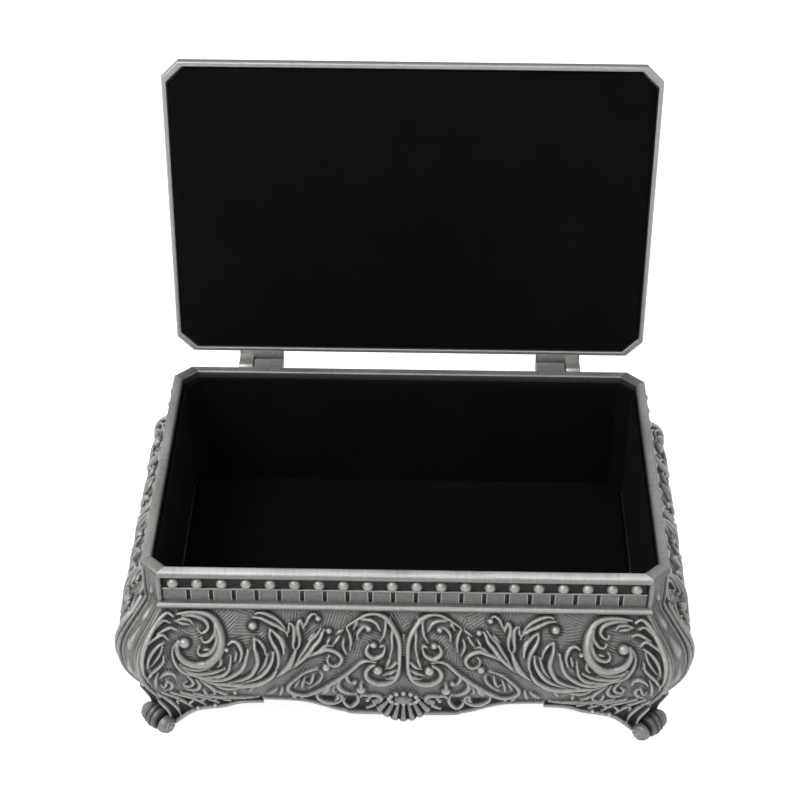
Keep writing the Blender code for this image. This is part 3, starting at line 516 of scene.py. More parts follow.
WING_LEAVES = """
1 69.4 31.4 66.2 34.5 63.4 38.2 61.5 41.6
1 66.9 31.2 62.8 33.8 59.6 36.6 57.4 40.2
1 63.9 31.3 59.6 33.4 56.3 35.6 53.5 38.6
.9 60.4 31.8 56.4 33.4 53 35.2 50 37
.9 56.6 33.2 52.6 34.2 49 35.2 45.6 35.6
.8 51.6 33.6 48 34.3 44.6 34.6 41.8 34.2
1 70.6 33.2 67.8 37.6 66 42.4 65.3 46.4
.9 71.6 36.4 70 40.6 68.6 45 68 49
.8 64.5 35.9 65.6 37.8 65.3 39.9
.8 60.8 37.2 62 38.6 61.9 40.4
.8 57.2 35.8 58.6 37 58.8 38.6
.7 53.4 35.4 54.6 36.4 54.9 37.6
o.8 59.9 41.9
o.7 54.8 40
"""


# How much wider a ridge is drawn than its text says
FULLNESS = 1.45


def strokes(text):
    """Reads strokes as (kind, width or radius, points). The kind is o for a knob, b for a leaf's body and
    nothing for a ridge."""
    for line in text.strip().splitlines():
        first, *rest = line.split()
        values = [float(v) for v in rest]
        kind = first[0] if first[0] in "ob" else ""
        yield kind, float(first[len(kind):]), list(zip(values[::2], values[1::2]))


def draw(relief, text, move=lambda s, t: (s, t), scale=1.0, keep=lambda s, t: True):
    for kind, size, points in strokes(text):
        points = [move(s, t) for s, t in points]
        if not all(keep(s, t) for s, t in points):
            continue
        if kind == "o":
            relief.knob(*points[0], size * scale)
        elif kind == "b":
            relief.body(points, size * scale)
        else:
            relief.stroke(points, size * scale * FULLNESS)


# Where the lower edge of a long wall and of a foot's wing run, as s against t
APRON_EDGE = [(0, 44.5), (14, 44.3), (17, 43.2), (19.8, 42), (22.1, 40.6), (24.5, 39.1), (27.4, 37.6),
              (30.4, 36.5), (34.8, 35.9), (40.2, 35.7)]
WING_EDGE = [(40.5, 38.1), (46.6, 38.6), (49.5, 39.8), (52, 41.2), (56.6, 42.4), (60.3, 43.8), (63.6, 46.4),
             (67, 50), (69.3, 51.6), (75, 51.8)]
LONG_HALF = HALF_W - CUT
SHORT_HALF = HALF_D - CUT
LONG_WING = 40.5
SHORT_WING = 24.2
WING_END = 71.2
# From a short wall's ornament to the same form on a long wall, and its apron's share of a long wall's
SHIFT = LONG_HALF - SHORT_HALF
APRON_SHARE = 0.6


# A short wall's own stems, as width and points
SHORT_STEMS = [
    (1.8, [(8, 15), (10.1, 14.6), (12.4, 16.2), (13.4, 19.4), (12.6, 22.6), (14.4, 26), (17, 28.6)]),
    (1.6, [(12.6, 22.6), (10.6, 25.2), (9.6, 28.2), (10.6, 31)]),
    (1.6, [(7, 26), (6.6, 29), (8.2, 32.4), (11.6, 34.4), (14.6, 33.6), (15.6, 31)]),
]


def step(x, low, high):
    """0 below low and 1 above high, smoothly."""
    u = np.clip((x - low) / (high - low), 0, 1)
    return u * u * (3 - 2 * u)


def sunk_edge(apron, shift=0.0):
    """Where the ground is sunk: above the apron's lip, and between the leaves of the wings."""

    def recess(s, t):
        lip = np.interp(s, *np.array(apron).T)
        under = step(t, 33.0, 34.6) * step(lip - t, 0.8, 1.3) * step(29 - s, 0, 3)
        on_wing = step(t, BASE_T - 2.2, BASE_T) * step(s + shift, LONG_WING - 1, LONG_WING + 1)
        return np.maximum(under, on_wing)

    return recess


def middle_of(relief, share):
    """The dots up a wall's middle and the lip of its apron, which is a share of a long wall's."""
    for k in range(8):
        relief.knob(0, 6.9 + 0.8 * k, 0.4, 0.7)
    relief.stroke([(s * share, t - 0.6) for s, t in APRON_EDGE], 1.3, 0.9, 0.9, 0.75)


def long_relief():
    relief = Relief(-6, 82, -3, 55)
    for text in (CENTRE, STEM, PLUMES, FRONDS, VOLUTE, EDGE_LEAVES, WING_LEAVES):
        draw(relief, text)
    middle_of(relief, 1)
    relief.stroke([(s, t - 0.8) for s, t in WING_EDGE[:-1]], 1.7, 0.8, 0.9, 0.7)
    relief.finish(sunk_edge(APRON_EDGE))
    return relief


def short_relief():
    relief = Relief(-6, 58, -3, 55)
    draw(relief, CENTRE)
    middle_of(relief, APRON_SHARE)

    def moved(s, t):
        return s - SHIFT, t

    for text in (PLUMES, FRONDS, VOLUTE, EDGE_LEAVES, WING_LEAVES):
        draw(relief, text, moved, 1.0, lambda s, t: s > (13.5 if t < 12 else 11))
    for width, points in SHORT_STEMS:
        relief.stroke(points, width)
    edge = [(s - SHIFT + (0.9 if s < 60 else 0), t - 0.8) for s, t in WING_EDGE[:-1]]
    relief.stroke(edge, 1.7, 0.8, 0.9, 0.7)
    relief.finish(sunk_edge([(s * APRON_SHARE, t) for s, t in APRON_EDGE], SHIFT))
    return relief


def columns_of(half, spacing):
    """Shares of the way across a wall, evenly spaced."""
    n = int(half / spacing)
    return np.linspace(-1, 1, 2 * n + 1)


def panel(shell, relief, half, edge, place_on, seed, spacing=0.27):
    """The swelling face of a wall with its relief, its lower edge and its plain inner side."""
    q = columns_of(half, spacing)
    at_base = np.abs(q) * (half + SPREAD * profile_out(BASE_T))
    low = np.interp(at_base, *np.array(edge).T)
    v = np.linspace(0, 1, int(BASE_T / spacing) + 1)[:, None]
    t = v * low[None, :]
    s = q[None, :] * (half + SPREAD * profile_out(t))
    height = relief.read(relief.height, np.abs(s), t)
    fade = np.clip(t / 0.8, 0, 1)
    out, z = belly(t, GROUND + height * fade)
    tone = relief.read(relief.tone, np.abs(s), t)
    ground = relief.read(relief.ground, np.abs(s), t)
    rows = [place_on(s, out, z)]
    tones, grounds = [tone], [ground]
    places = [np.stack([s + seed, t, 0 * s], -1)]
    last = t[-1:]
    inner = [(last + 0.25, -0.9), (last + 0.1, -1.9), (last - 0.8, -2.4)]
    inner += [(last * k, -2.4) for k in (0.85, 0.7, 0.5, 0.3, 0.12)] + [(last * 0, -2.0)]
    for ti, depth in inner:
        si = q[None, :] * (half + SPREAD * profile_out(ti))
        oi, zi = belly(ti, depth)
        rows.append(place_on(si, oi, zi))
        # Painted shade on the plain inner side, a little lighter on the lower lip.
        tones.append(0 * si + (0.45 if depth > -1 else 0.25))
        grounds.append(0 * si)
        places.append(np.stack([si + seed, ti + 0 * si, 0 * si], -1))
    grids = [np.vstack(part) for part in (rows, tones, grounds, places)]
    shell.grid(*grids, wrap_rows=True, caps=True)


def wing(shell, relief, start, end, edge, shift, place_on, seed, spacing=0.27):
    """A foot's wing along one wall, under the end of its panel."""
    s = np.linspace(start, end, int((end - start) / spacing) + 1)[None, :]
    low = np.interp(s + shift, *np.array(edge).T)
    top = BASE_T - 0.9
    v = np.linspace(0, 1, int(15 / spacing) + 1)[:, None]
    t = top + v * (low - top)
    height = relief.read(relief.height, s + 0 * t, t)
    out, z = belly(t, GROUND + 0.25 + height)
    s = s + 0 * t
    tone = relief.read(relief.tone, s, t)
    rows, tones = [place_on(s, out, z)], [tone]
    grounds = [relief.read(relief.ground, s, t)]
    places = [np.stack([s + seed, t, 0 * s], -1)]
    last, first = t[-1:], t[:1]
    for ti, depth in ((last + 0.2, -0.8), (last, -2.0), (last - 0.7, -2.6), (first * 0.5 + last * 0.5, -2.8),
                      (first + 0.6, -2.8), (first, -1.4)):
        oi, zi = belly(ti, depth)
        rows.append(place_on(s[:1], oi, zi))
        # Painted shade on the wing's back, a little lighter on its lower lip.
        tones.append(0 * s[:1] + (0.5 if depth > -1 else 0.25))
        grounds.append(0 * s[:1])
        places.append(np.stack([s[:1] + seed, ti, 0 * ti], -1))
    grids = [np.vstack(part) for part in (rows, tones, grounds, places)]
    shell.grid(*grids, wrap_rows=True, caps=True)


# The rim and the cornice under it, as (out, drop, tone, cut) round their sections, where cut is how deep
# the slots between the blocks go at that point

# The rim's tone is a painted highlight on its top and outer edge and painted shade on its inner face and under
# its overhang.
RIM_SECTION = [
    (-3.0, 3.4, 0.15, 0), (-3.0, 0.5, 0.45, 0), (-2.93, 0.18, 0.8, 0), (-2.7, 0.0, 0.92, 0),
    (-2.1, -0.03, 0.94, 0), (-1.2, -0.03, 0.96, 0), (-0.62, 0.0, 0.98, 0), (-0.3, 0.1, 0.9, 0),
    (-0.08, 0.3, 0.75, 0), (0.0, 0.6, 0.6, 0), (0.0, 1.5, 0.58, 0), (-0.02, 1.85, 0.62, 0),
    (-0.16, 2.06, 0.5, 0), (-0.5, 2.14, 0.15, 0), (-1.6, 2.3, 0.04, 0), (-2.4, 2.6, 0.04, 0),
]
# The cornice's tone is painted shade in the cove behind the beads and under the torus, and painted highlight on
# the ledge and the torus's upper face.
CORNICE_SECTION = [
    (-2.6, 2.3, 0.03, 0), (-1.62, 2.15, 0.03, 0), (-1.7, 3.2, 0.05, 0), (-1.7, 4.8, 0.06, 0),
    (-1.62, 5.6, 0.04, 0), (-1.3, 5.95, 0.1, 0), (-0.82, 6.0, 0.5, 0), (-0.64, 6.1, 0.72, 0),
    (-0.6, 6.35, 0.66, 0), (-0.64, 6.6, 0.56, 0), (-0.82, 6.76, 0.2, 0), (-1.02, 6.86, 0.12, 0),
    (-0.98, 7.0, 0.52, 0.7), (-0.98, 7.25, 0.48, 0.7), (-0.98, 8.9, 0.46, 0.7),
    (-0.98, 10.5, 0.46, 0.7), (-0.94, 10.75, 0.46, 0), (-0.5, 10.88, 0.5, 0), (0.1, 10.95, 0.62, 0),
    (0.42, 11.1, 0.74, 0), (0.6, 11.45, 0.78, 0), (0.66, 12.0, 0.64, 0), (0.58, 12.5, 0.55, 0),
    (0.36, 12.9, 0.35, 0), (-0.05, 13.1, 0.06, 0), (-0.9, 13.2, 0.03, 0), (-2.6, 13.0, 0.05, 0),
]
SLOT_PITCH, SLOT_END = 6.37, 8.0
# Across half a slot, as (distance from its middle, share of the cut, change of tone)
# Its change of tone is painted shade inside the slot and a painted highlight on the blocks' edges beside it.
SLOT_SIDE = [(0.4, 1, -0.34), (0.52, 0.2, 0.1), (0.62, 0, 0.3), (0.78, 0, 0.24), (0.95, 0, 0.0)]
# Painted shade: the rim's chamfers are painted darker, as they catch less light.
CHAMFER_PAINTED_SHADE = 0.7
BEAD_PITCH, BEAD_RADIUS = 6.8, 1.62


def spread(length, pitch):
    """Places about 0 with a pitch between them, over a length."""
    count = max(1, int(length / pitch) + 1)
    return [(i - (count - 1) / 2) * pitch for i in range(count)]


def cornice(shell, half, place_on, seed, section, slots, chamfers, painted_shade=1.0):
    """One band of a wall's cornice: stations across the wall, cut back at the slots between the blocks."""
    out, drop, tone, cut = np.array(section).T
    # Painted shade: the band's tone is scaled down where a wall's rim catches less light.
    tone = tone * painted_shade
    stations = []
    for x in spread(2 * half - 2 * SLOT_END, SLOT_PITCH) if slots else ():
        for dx, depth, light in SLOT_SIDE:
            stations += [(x - dx, depth, light), (x + dx, depth, light)]
    fill = [(x, 0, 0.0) for x in np.arange(-half + 2, half - 1.9, 1.3)
            if all(abs(x - at) > 0.3 for at, _, _ in stations)
            and not any(abs(x - at) < 0.8 and depth for at, depth, _ in stations)]
    stations = sorted(stations + fill)
    rows, tones, places = [], [], []

    def row(s, o, light=0.0, t=tone):
        rows.append(place_on(s, o, RIM_Z - drop))
        tones.append(np.clip(t + light, 0, 1))
        places.append(np.stack([s + seed, drop + 0 * s, BRUSHED + 0 * s], -1))

    limit = half + SPREAD * out
    corner = limit + cut_at(out)
    if chamfers:
        row(-corner, out - cut_at(out), 0.0, tone * CHAMFER_PAINTED_SHADE)
        row(-limit, out, 0.0, tone * CHAMFER_PAINTED_SHADE)
    row(-limit + 0.02, out, 0.03)
    for x, depth, light in stations:
        row(np.full(len(out), x), out - cut * depth, np.where(cut > 0, light, 0.0))
    row(limit - 0.02, out, 0.03)
    if chamfers:
        row(limit, out, 0.0, tone * CHAMFER_PAINTED_SHADE)
        row(corner, out - cut_at(out), 0.0, tone * CHAMFER_PAINTED_SHADE)
    shell.grid(np.stack(rows, 1), np.stack(tones, 1), 0.0, np.stack(places, 1), wrap_rows=True, caps=True)


def beads(shell, half, place_on, blocked=()):
    for x in spread(2 * half - BEAD_PITCH, BEAD_PITCH):
        if any(low < abs(x) < high for low, high in blocked):
            continue
        centre = place_on(np.array(x), np.array(-0.55), np.array(RIM_Z - 4.05))
        shell.ball(centre, np.diag([BEAD_RADIUS] * 3), 0.72)


# Corner columns, modelled for one corner and mirrored to the others


def corner_frame(mirror_x, mirror_y):
    """A placing for (across, away, z), where away points out of the corner."""

    def place_on(across, away, z):
        x = HALF_W + (away + across) / math.sqrt(2)
        y = -HALF_D - (away - across) / math.sqrt(2)
        return np.stack([mirror_x * x, BOX_Y + mirror_y * y, z + 0 * x], -1)

    return place_on


COLUMN_TOP = -10.9


def column_centre(t):
    """(away, z) of the middle of a corner column's face at t. Above the belly it stays behind the rim."""
    out, z = belly(t, 0)
    above = step(-t, -3.0, 4.0)
    out = out * (1 - above) + 0.3 * above
    z = np.where(t < -5, RIM_Z - 8.1 - (t + 5), z)
    return (out - cut_at(out) / 2) * math.sqrt(2), z, cut_at(out) / math.sqrt(2)


# The drops on a column, as (t of the widest point, radius, length above it, length below it)
DROPS = [(-3.6, 0.75, 3.4, 1.3), (4.6, 0.95, 4.6, 2.0), (13.0, 1.3, 6.0, 2.6), (23.0, 1.2, 5.6, 3.0),
         (32.4, 0.95, 4.6, 2.4)]
COLUMN_FIELD = -1.25


def column(shell, place_on, seed, t_low, t_high):
    """A corner column: two raised borders on each side and a chain of slim drops between them."""
    t = np.linspace(t_low, t_high, int((t_high - t_low) / 0.3) + 1)[:, None]
    away, z, half = column_centre(t)
    a = np.linspace(-1.14, 1.14, 77)[None, :]
    wide = np.abs(a)
    outer = np.exp(-(((wide - 0.92) / 0.13) ** 4))
    inner = np.exp(-(((wide - 0.58) / 0.1) ** 2))
    groove = np.exp(-(((wide - 0.735) / 0.045) ** 2))
    relief = 0.75 * outer + 0.3 * inner - 0.2 * groove - 14 * np.clip(wide - 1.03, 0, 1) + 0 * t
    drop = 0 * relief
    for at, radius, above, below in DROPS:
        along = (t - at) / np.where(t < at, above, below)
        size = radius * np.clip(1 - np.abs(along) ** 1.5, 1e-3, 1)
        across = np.clip(1 - (a * half / size) ** 2, 0, None) ** 0.5
        drop = np.maximum(drop, across * size / radius * (np.abs(along) < 1))
    height = COLUMN_FIELD + np.maximum(relief, 0.9 * drop)
    # Tone: borders and drops lighter and the groove darker, as polish and patina with painted highlight and
    # shade; painted shade where the sides turn back into the corner and on the back faces.
    tone = 0.46 + 0.2 * outer + 0.12 * inner + 0.3 * drop - 0.42 * groove
    tone = tone - 0.12 * np.exp(-(((wide - 0.42) / 0.06) ** 2)) - 4 * np.clip(wide - 1.05, 0, 1)
    tone = np.clip(tone, 0.04, 1)
    slope = np.gradient(away[:, 0], t[:, 0])[:, None]
    lean = np.arctan(slope / 1.2)
    pos = [place_on(a * half, away + height * np.cos(lean), z + height * np.sin(lean))]
    tones = [tone]
    for back_a, depth in ((1.1, -1.9), (0.0, -2.6), (-1.1, -1.9)):
        edge = np.full((len(t), 1), back_a)
        pos.append(place_on(edge * half, away + depth, z + 0 * edge))
        tones.append(np.full((len(t), 1), 0.1))
    grid = np.concatenate(pos, 1)
    places = np.stack([a * half + seed, t + 0 * a, HALF_BRUSHED + 0 * a * t], -1)
    places = np.concatenate([places, np.repeat(places[:, -1:], 3, 1)], 1)
    shell.grid(grid, np.concatenate(tones, 1), 0.0, places, wrap_cols=True, caps=True)


def toe(shell, place_on):
    """The rolled toe: a lobed roll that lies across the corner, between two smaller scrolled ends."""
    body, end, half, centre_away = 4.0, 2.95, 5.9, -2.2
    lobes, body_share, cap_share, cap_round = 3, 0.46, 0.52, 3.0
    u = np.concatenate([np.linspace(-1, -cap_share, 26), np.linspace(-body_share, body_share, 81),
                        np.linspace(cap_share, 1, 26)])
    wide = np.abs(u)
    lobe = np.abs(np.sin(math.pi * lobes * (u / body_share + 1) / 2)) ** 0.45
    roll = body * np.sqrt(np.clip(1 - 0.3 * (wide / body_share) ** 2, 0, 1)) * (0.86 + 0.14 * lobe)
    k = np.clip((wide - cap_share) / (1 - cap_share), 0, 1)
    cap = end * (0.86 + 0.14 * step(k, 0, 0.15)) * np.sqrt(np.clip(1 - k**cap_round, 0.0004, 1))
    in_body = wide <= body_share + 1e-6
    r = np.where(in_body, roll, cap)
    centre_z = np.where(in_body, body * 0.97, end)
    angle = np.linspace(0, 2 * math.pi, 56, endpoint=False)
    away = centre_away + r[:, None] * np.cos(angle)
    z = np.maximum(0.0, centre_z[:, None] + r[:, None] * np.sin(angle))
    across = half * u[:, None] + 0 * away
    # Painted shade between the lobes, where the scrolled ends meet the roll and on the flat underside; the
    # lobes' crests are lighter, as polish with painted highlight.
    tone = np.where(in_body, 0.04 + 0.4 * lobe, 0.06 + 0.5 * step(k, 0, 0.12))[:, None] + 0 * away
    tone = np.where(z < 0.05, 0.1, tone)
    shell.grid(place_on(across, away, z), tone, wrap_cols=True, caps=True)
    for side in (1, -1):
        turn = np.linspace(0, 1, 90)
        theta = 2 * math.pi * 1.8 * turn + 0.8
        rr = 0.45 + 1.6 * turn
        reach = (1 - (rr / end) ** 2) ** (1 / cap_round)
        sideways = side * half * (cap_share + (1 - cap_share) * reach)
        centres = np.stack([sideways, centre_away + rr * np.cos(theta), end + rr * np.sin(theta)], -1)
        tube(shell, centres, 0.27, place_on, 0.68)
        shell.ball(place_on(*[np.array(c) for c in (side * (half - 0.3), centre_away, end)]),
                   np.diag([0.62, 0.62, 0.62]), 0.7, 12, 7)


def tube(shell, centres, radius, place_on, tone, sides=8):
    """A thin roll along points in a placing's own coordinates."""
    ahead = np.gradient(centres, axis=0)
    ahead /= np.linalg.norm(ahead, axis=1)[:, None] + 1e-9
    side_way = np.cross(ahead, [1.0, 0.0, 0.0])
    side_way /= np.linalg.norm(side_way, axis=1)[:, None] + 1e-9
    up = np.cross(side_way, ahead)
    angle = np.linspace(0, 2 * math.pi, sides, endpoint=False)
    round_it = np.cos(angle)[None, :, None] * side_way[:, None] + np.sin(angle)[None, :, None] * up[:, None]
    rings = centres[:, None] + radius * round_it
    shell.grid(place_on(rings[..., 0], rings[..., 1], rings[..., 2]), tone, wrap_cols=True, caps=True)


def foot(name, mirror_x, mirror_y, long_ornament, short_ornament, material):
    """A foot: two wings, the leg between them and the rolled toe."""
    shell = Shell()
    sx, sy = mirror_x, mirror_y
    wing(shell, long_ornament, LONG_WING, WING_END, WING_EDGE, 0, lambda s, o, z: np.stack(
        [sx * s, BOX_Y + sy * (-HALF_D - o), z], -1), 300 * sx)
    wing(shell, short_ornament, SHORT_WING, WING_END - SHIFT, WING_EDGE, SHIFT, lambda s, o, z: np.stack(
        [sx * (HALF_W + o), BOX_Y - sy * s, z], -1), 500 * sx)
    place_on = corner_frame(sx, sy)
    leg(shell, place_on)
    toe(shell, place_on)
    return piece(shell.make(name, material, 60), "box", (name.replace("_casting", ""),))


def leg(shell, place_on):
    """The leg from the column down to the toe, with a ridged leaf down its front."""
    k = np.linspace(0, 1, 60)[:, None]
    away = np.interp(k, [0, 0.25, 0.55, 0.8, 1], [-0.9, -2.4, -3.8, -3.6, -2.4])
    z = np.interp(k, [0, 1], [15.6, 3.2])
    half = np.interp(k, [0, 0.3, 0.6, 1], [4.3, 3.7, 2.9, 2.5])
    away = smoothed(away[:, 0], 5)[:, None]
    half = smoothed(half[:, 0], 5)[:, None]
    a = np.linspace(-1, 1, 33)[None, :]
    curve = -1.6 * np.abs(a) ** 2.2
    veins = 0.55 * np.exp(-((a / 0.1) ** 2)) + 0.4 * np.exp(-(((np.abs(a) - 0.42) / 0.09) ** 2))
    veins = veins + 0.45 * np.exp(-(((np.abs(a) - 0.8) / 0.1) ** 2))
    lobes = 0.25 * np.sin(14 * k + 5 * np.abs(a)) * (np.abs(a) > 0.2)
    height = curve + veins + lobes
    pos = [place_on(a * half + 0 * k, away + height, z + 0 * a)]
    # Veins and lobes lighter, as polish with painted highlight, darker towards the bottom, and the back painted
    # in shade.
    tone = np.clip(0.3 + 0.8 * veins + 0.5 * lobes - 0.15 * k, 0.03, 0.9)
    tones = [tone]
    for back_a, depth in ((0.8, -4.2), (0.0, -5.0), (-0.8, -4.2)):
        edge = np.full((60, 1), back_a)
        pos.append(place_on(edge * half, away + depth, z + 0 * edge))
        tones.append(np.full((60, 1), 0.15))
    shell.grid(np.concatenate(pos, 1), np.concatenate(tones, 1), wrap_cols=True, caps=True)


def fan(shell, place_on):
    """The shell of petals at the middle of a wall's lower edge, under a jewel in a ring of beads."""
    petals, per_petal, top, bottom, half = 11, 14, 21.0, 8.2, 9.8
    angle = np.linspace(-math.pi / 2, math.pi / 2, petals * per_petal + 1)[None, :]
    lobe = np.abs(np.sin(petals * (angle + math.pi / 2)))
    r = np.linspace(0.3, 1, 26)[:, None]
    reach = 0.95 + 0.05 * np.sqrt(lobe)
    x = half * np.sin(angle) * r * reach
    z = top - (top - bottom) * np.cos(angle) * r * reach
    petal = step(lobe, 0.25, 0.75)
    ends = np.sqrt(np.clip(1 - np.clip((r - 0.9) / 0.11, 0, 1) ** 2, 0, 1))
    out = 0.7 + 2.8 * r + 1.0 * petal * ends
    # Painted shade between the petals and on the shell's back; the petals lighter outwards.
    tone = 0.04 + 0.6 * petal * (0.7 + 0.3 * r)
    pos = [place_on(x, out, z)]
    tones = [tone]
    for shrink, depth in ((1.0, 1.2), (0.9, 0.2), (0.3, 0.2)):
        xi = half * np.sin(angle) * shrink * reach
        zi = top - (top - bottom) * np.cos(angle) * shrink * reach
        pos.append(place_on(xi, 0 * xi + depth, zi))
        tones.append(0 * xi + 0.2)
    shell.grid(np.vstack(pos), np.vstack(tones), wrap_rows=True, caps=True)
    middle, ring_s, ring_t, ring_beads = 32.2, 4.1, 4.1, 12
    for k in range(ring_beads):
        turn = 2 * math.pi * k / ring_beads
        out, z = belly(np.array(middle - ring_t * math.cos(turn)), GROUND + 1.1)
        shell.ball(place_on(np.array(ring_s * math.sin(turn)), out, z), np.diag([0.74] * 3), 0.78, 14, 8)
    out, z = belly(np.array(middle), GROUND + 0.6)
    shell.ball(place_on(np.array(0.0), out, z), np.diag([2.7, 2.3, 1.7]), 0.56, 26, 15)


# Materials


class Nodes:
    """Short ways to build a node tree, of a new material or of a world."""

    def __init__(self, name, world=None):
        self.material = world or bpy.data.materials.new(name)
        self.material.use_nodes = True
        self.tree = self.material.node_tree
        self.shader = self.tree.nodes["Background" if world else "Principled BSDF"]

    def add(self, kind, inputs=(), **settings):
        node = self.tree.nodes.new(kind)
        for key, value in settings.items():
            setattr(node, key, value)
        for key, value in dict(inputs).items():
            self.put(node.inputs[key], value)
        return node

    def put(self, socket, value):
        if isinstance(value, bpy.types.NodeSocket):
            self.tree.links.new(value, socket)
        else:
            socket.default_value = value

    def math(self, operation, a, b=0.0, clamp=False):
        node = self.add("ShaderNodeMath", operation=operation, use_clamp=clamp)
        self.put(node.inputs[0], a)
        self.put(node.inputs[1], b)
        return node.outputs[0]

    def ramp(self, factor, stops):
        node = self.add("ShaderNodeValToRGB", {"Fac": factor})
        points = node.color_ramp.elements
        while len(points) < len(stops):
            points.new(0.5)
        for point, (at, colour) in zip(points, stops):
            point.position = at
            point.color = (*colour, 1) if len(colour) == 3 else colour
        return node.outputs["Color"]

    def noise(self, vector, scale, detail=3.0, rough=0.5):
        node = self.add("ShaderNodeTexNoise", {"Scale": scale, "Detail": detail, "Roughness": rough})
        self.put(node.inputs["Vector"], vector)
        return node.outputs["Fac"]

    def attribute(self, name, output="Fac"):
        return self.add("ShaderNodeAttribute", attribute_name=name).outputs[output]

    def stretched(self, vector, scale):
        node = self.add("ShaderNodeVectorMath", operation="MULTIPLY")
        self.put(node.inputs[0], vector)
        node.inputs[1].default_value = scale
        return node.outputs[0]

    def bump(self, height, strength, distance, normal=None):
        node = self.add("ShaderNodeBump", {"Height": height, "Strength": strength, "Distance": distance})
        if normal is not None:
            self.put(node.inputs["Normal"], normal)
        return node.outputs["Normal"]


HATCH_PITCH = 0.84
# The metal's colour by tone, from black in its hollows to bright on its crests: patina and polish, and the
# painted shade and painted highlights that tone carries
PATINA_AND_PAINTED_LIGHT = [(0.0, (0.010, 0.010, 0.009)), (0.2, (0.036, 0.036, 0.034)), (0.4, (0.105, 0.104, 0.1)),
          (0.6, (0.205, 0.203, 0.195)), (0.8, (0.36, 0.357, 0.346)), (1.0, (0.68, 0.675, 0.66))]


def antique_metal(name):
    """Cast zinc with a dark patina in its hollows and polished crests, coloured by the tone attribute, which
    also carries painted shade and painted highlights.
    """
    n = Nodes(name)
    place = n.attribute("place", "Vector")
    tone, ground = n.attribute("tone"), n.attribute("ground")
    cell = n.add("ShaderNodeTexVoronoi", {"Scale": 0.17, "Randomness": 1.0}, voronoi_dimensions="2D")
    n.put(cell.inputs["Vector"], place)
    pick = n.add("ShaderNodeSeparateColor", {"Color": cell.outputs["Color"]}).outputs[0]
    turn = n.math("MULTIPLY", pick, 2 * math.pi)
    split = n.add("ShaderNodeSeparateXYZ", {"Vector": place})
    along = n.math("ADD", n.math("MULTIPLY", split.outputs[0], n.math("COSINE", turn)),
                   n.math("MULTIPLY", split.outputs[1], n.math("SINE", turn)))
    line = n.math("SINE", n.math("MULTIPLY", along, 2 * math.pi / HATCH_PITCH))
    worn = n.math("MULTIPLY", n.math("SUBTRACT", n.noise(place, 0.3, 2.0), 0.3), 2.5, clamp=True)
    line = n.math("MULTIPLY", n.math("MULTIPLY", line, 0.5), n.math("MULTIPLY", ground, worn))
    mottle = n.math("SUBTRACT", n.noise(place, 0.9, 4.0, 0.6), 0.5)
    fine = n.math("SUBTRACT", n.noise(place, 6.0, 3.0, 0.6), 0.5)
    brush = n.math("SUBTRACT", n.noise(n.stretched(place, (0.05, 5.0, 1.0)), 1.0, 4.0, 0.6), 0.5)
    brush = n.math("MULTIPLY", brush, n.math("MULTIPLY", split.outputs[2], 1 / BRUSHED, clamp=True))
    change = n.math("ADD", n.math("MULTIPLY", mottle, 0.26), n.math("MULTIPLY", fine, 0.22))
    change = n.math("ADD", change, n.math("MULTIPLY", brush, 0.5))
    change = n.math("MULTIPLY", change, n.math("ADD", 0.15, n.math("MULTIPLY", tone, 1.9), clamp=True))
    level = n.math("ADD", n.math("ADD", tone, change), n.math("MULTIPLY", line, 0.34), clamp=True)
    n.put(n.shader.inputs["Base Color"], n.ramp(level, PATINA_AND_PAINTED_LIGHT))
    n.shader.inputs["Metallic"].default_value = 0.6
    rough = n.math("SUBTRACT", 0.56, n.math("MULTIPLY", level, 0.18))
    n.put(n.shader.inputs["Roughness"], n.math("ADD", rough, n.math("MULTIPLY", brush, 0.2)))
    lines = n.bump(line, 0.8, 0.00025)
    grain = n.bump(fine, 0.35, 0.00012, lines)
    n.put(n.shader.inputs["Normal"], n.bump(brush, 0.2, 0.00012, grain))
    return n.material


def steel(name):
    n = Nodes(name)
    where = n.add("ShaderNodeTexCoord").outputs["Object"]
    drawn = n.noise(n.stretched(where, (200.0, 9000.0, 9000.0)), 1.0, 3.0)
    n.put(n.shader.inputs["Base Color"], n.ramp(drawn, [(0.2, (0.3, 0.3, 0.3)), (0.8, (0.5, 0.5, 0.49))]))
    n.shader.inputs["Metallic"].default_value = 1.0
    n.put(n.shader.inputs["Roughness"], n.math("ADD", 0.28, n.math("MULTIPLY", drawn, 0.2)))
    n.put(n.shader.inputs["Normal"], n.bump(drawn, 0.15, 0.00005))
    return n.material


def cloth(name, dark, light, sheen, pile):
    """A short pile: a dark ground, lighter where the pile leans, and a fine nap."""
    n = Nodes(name)
    where = n.add("ShaderNodeTexCoord").outputs["Object"]
    lean = n.noise(where, 45.0, 4.0, 0.55)
    nap = n.noise(where, pile, 2.0, 0.7)
    level = n.math("ADD", n.math("MULTIPLY", lean, 0.7), n.math("MULTIPLY", nap, 0.3))
    n.put(n.shader.inputs["Base Color"], n.ramp(level, [(0.3, dark), (0.72, light)]))
    n.shader.inputs["Roughness"].default_value = 0.95
    n.shader.inputs["Specular IOR Level"].default_value = 0.08
    n.shader.inputs["Sheen Weight"].default_value = sheen
    n.shader.inputs["Sheen Roughness"].default_value = 0.35
    n.shader.inputs["Sheen Tint"].default_value = (0.55, 0.6, 0.8, 1)
    soft = n.bump(lean, 0.25, 0.0006)
    n.put(n.shader.inputs["Normal"], n.bump(nap, 0.6, 0.0003, soft))
    return n.material


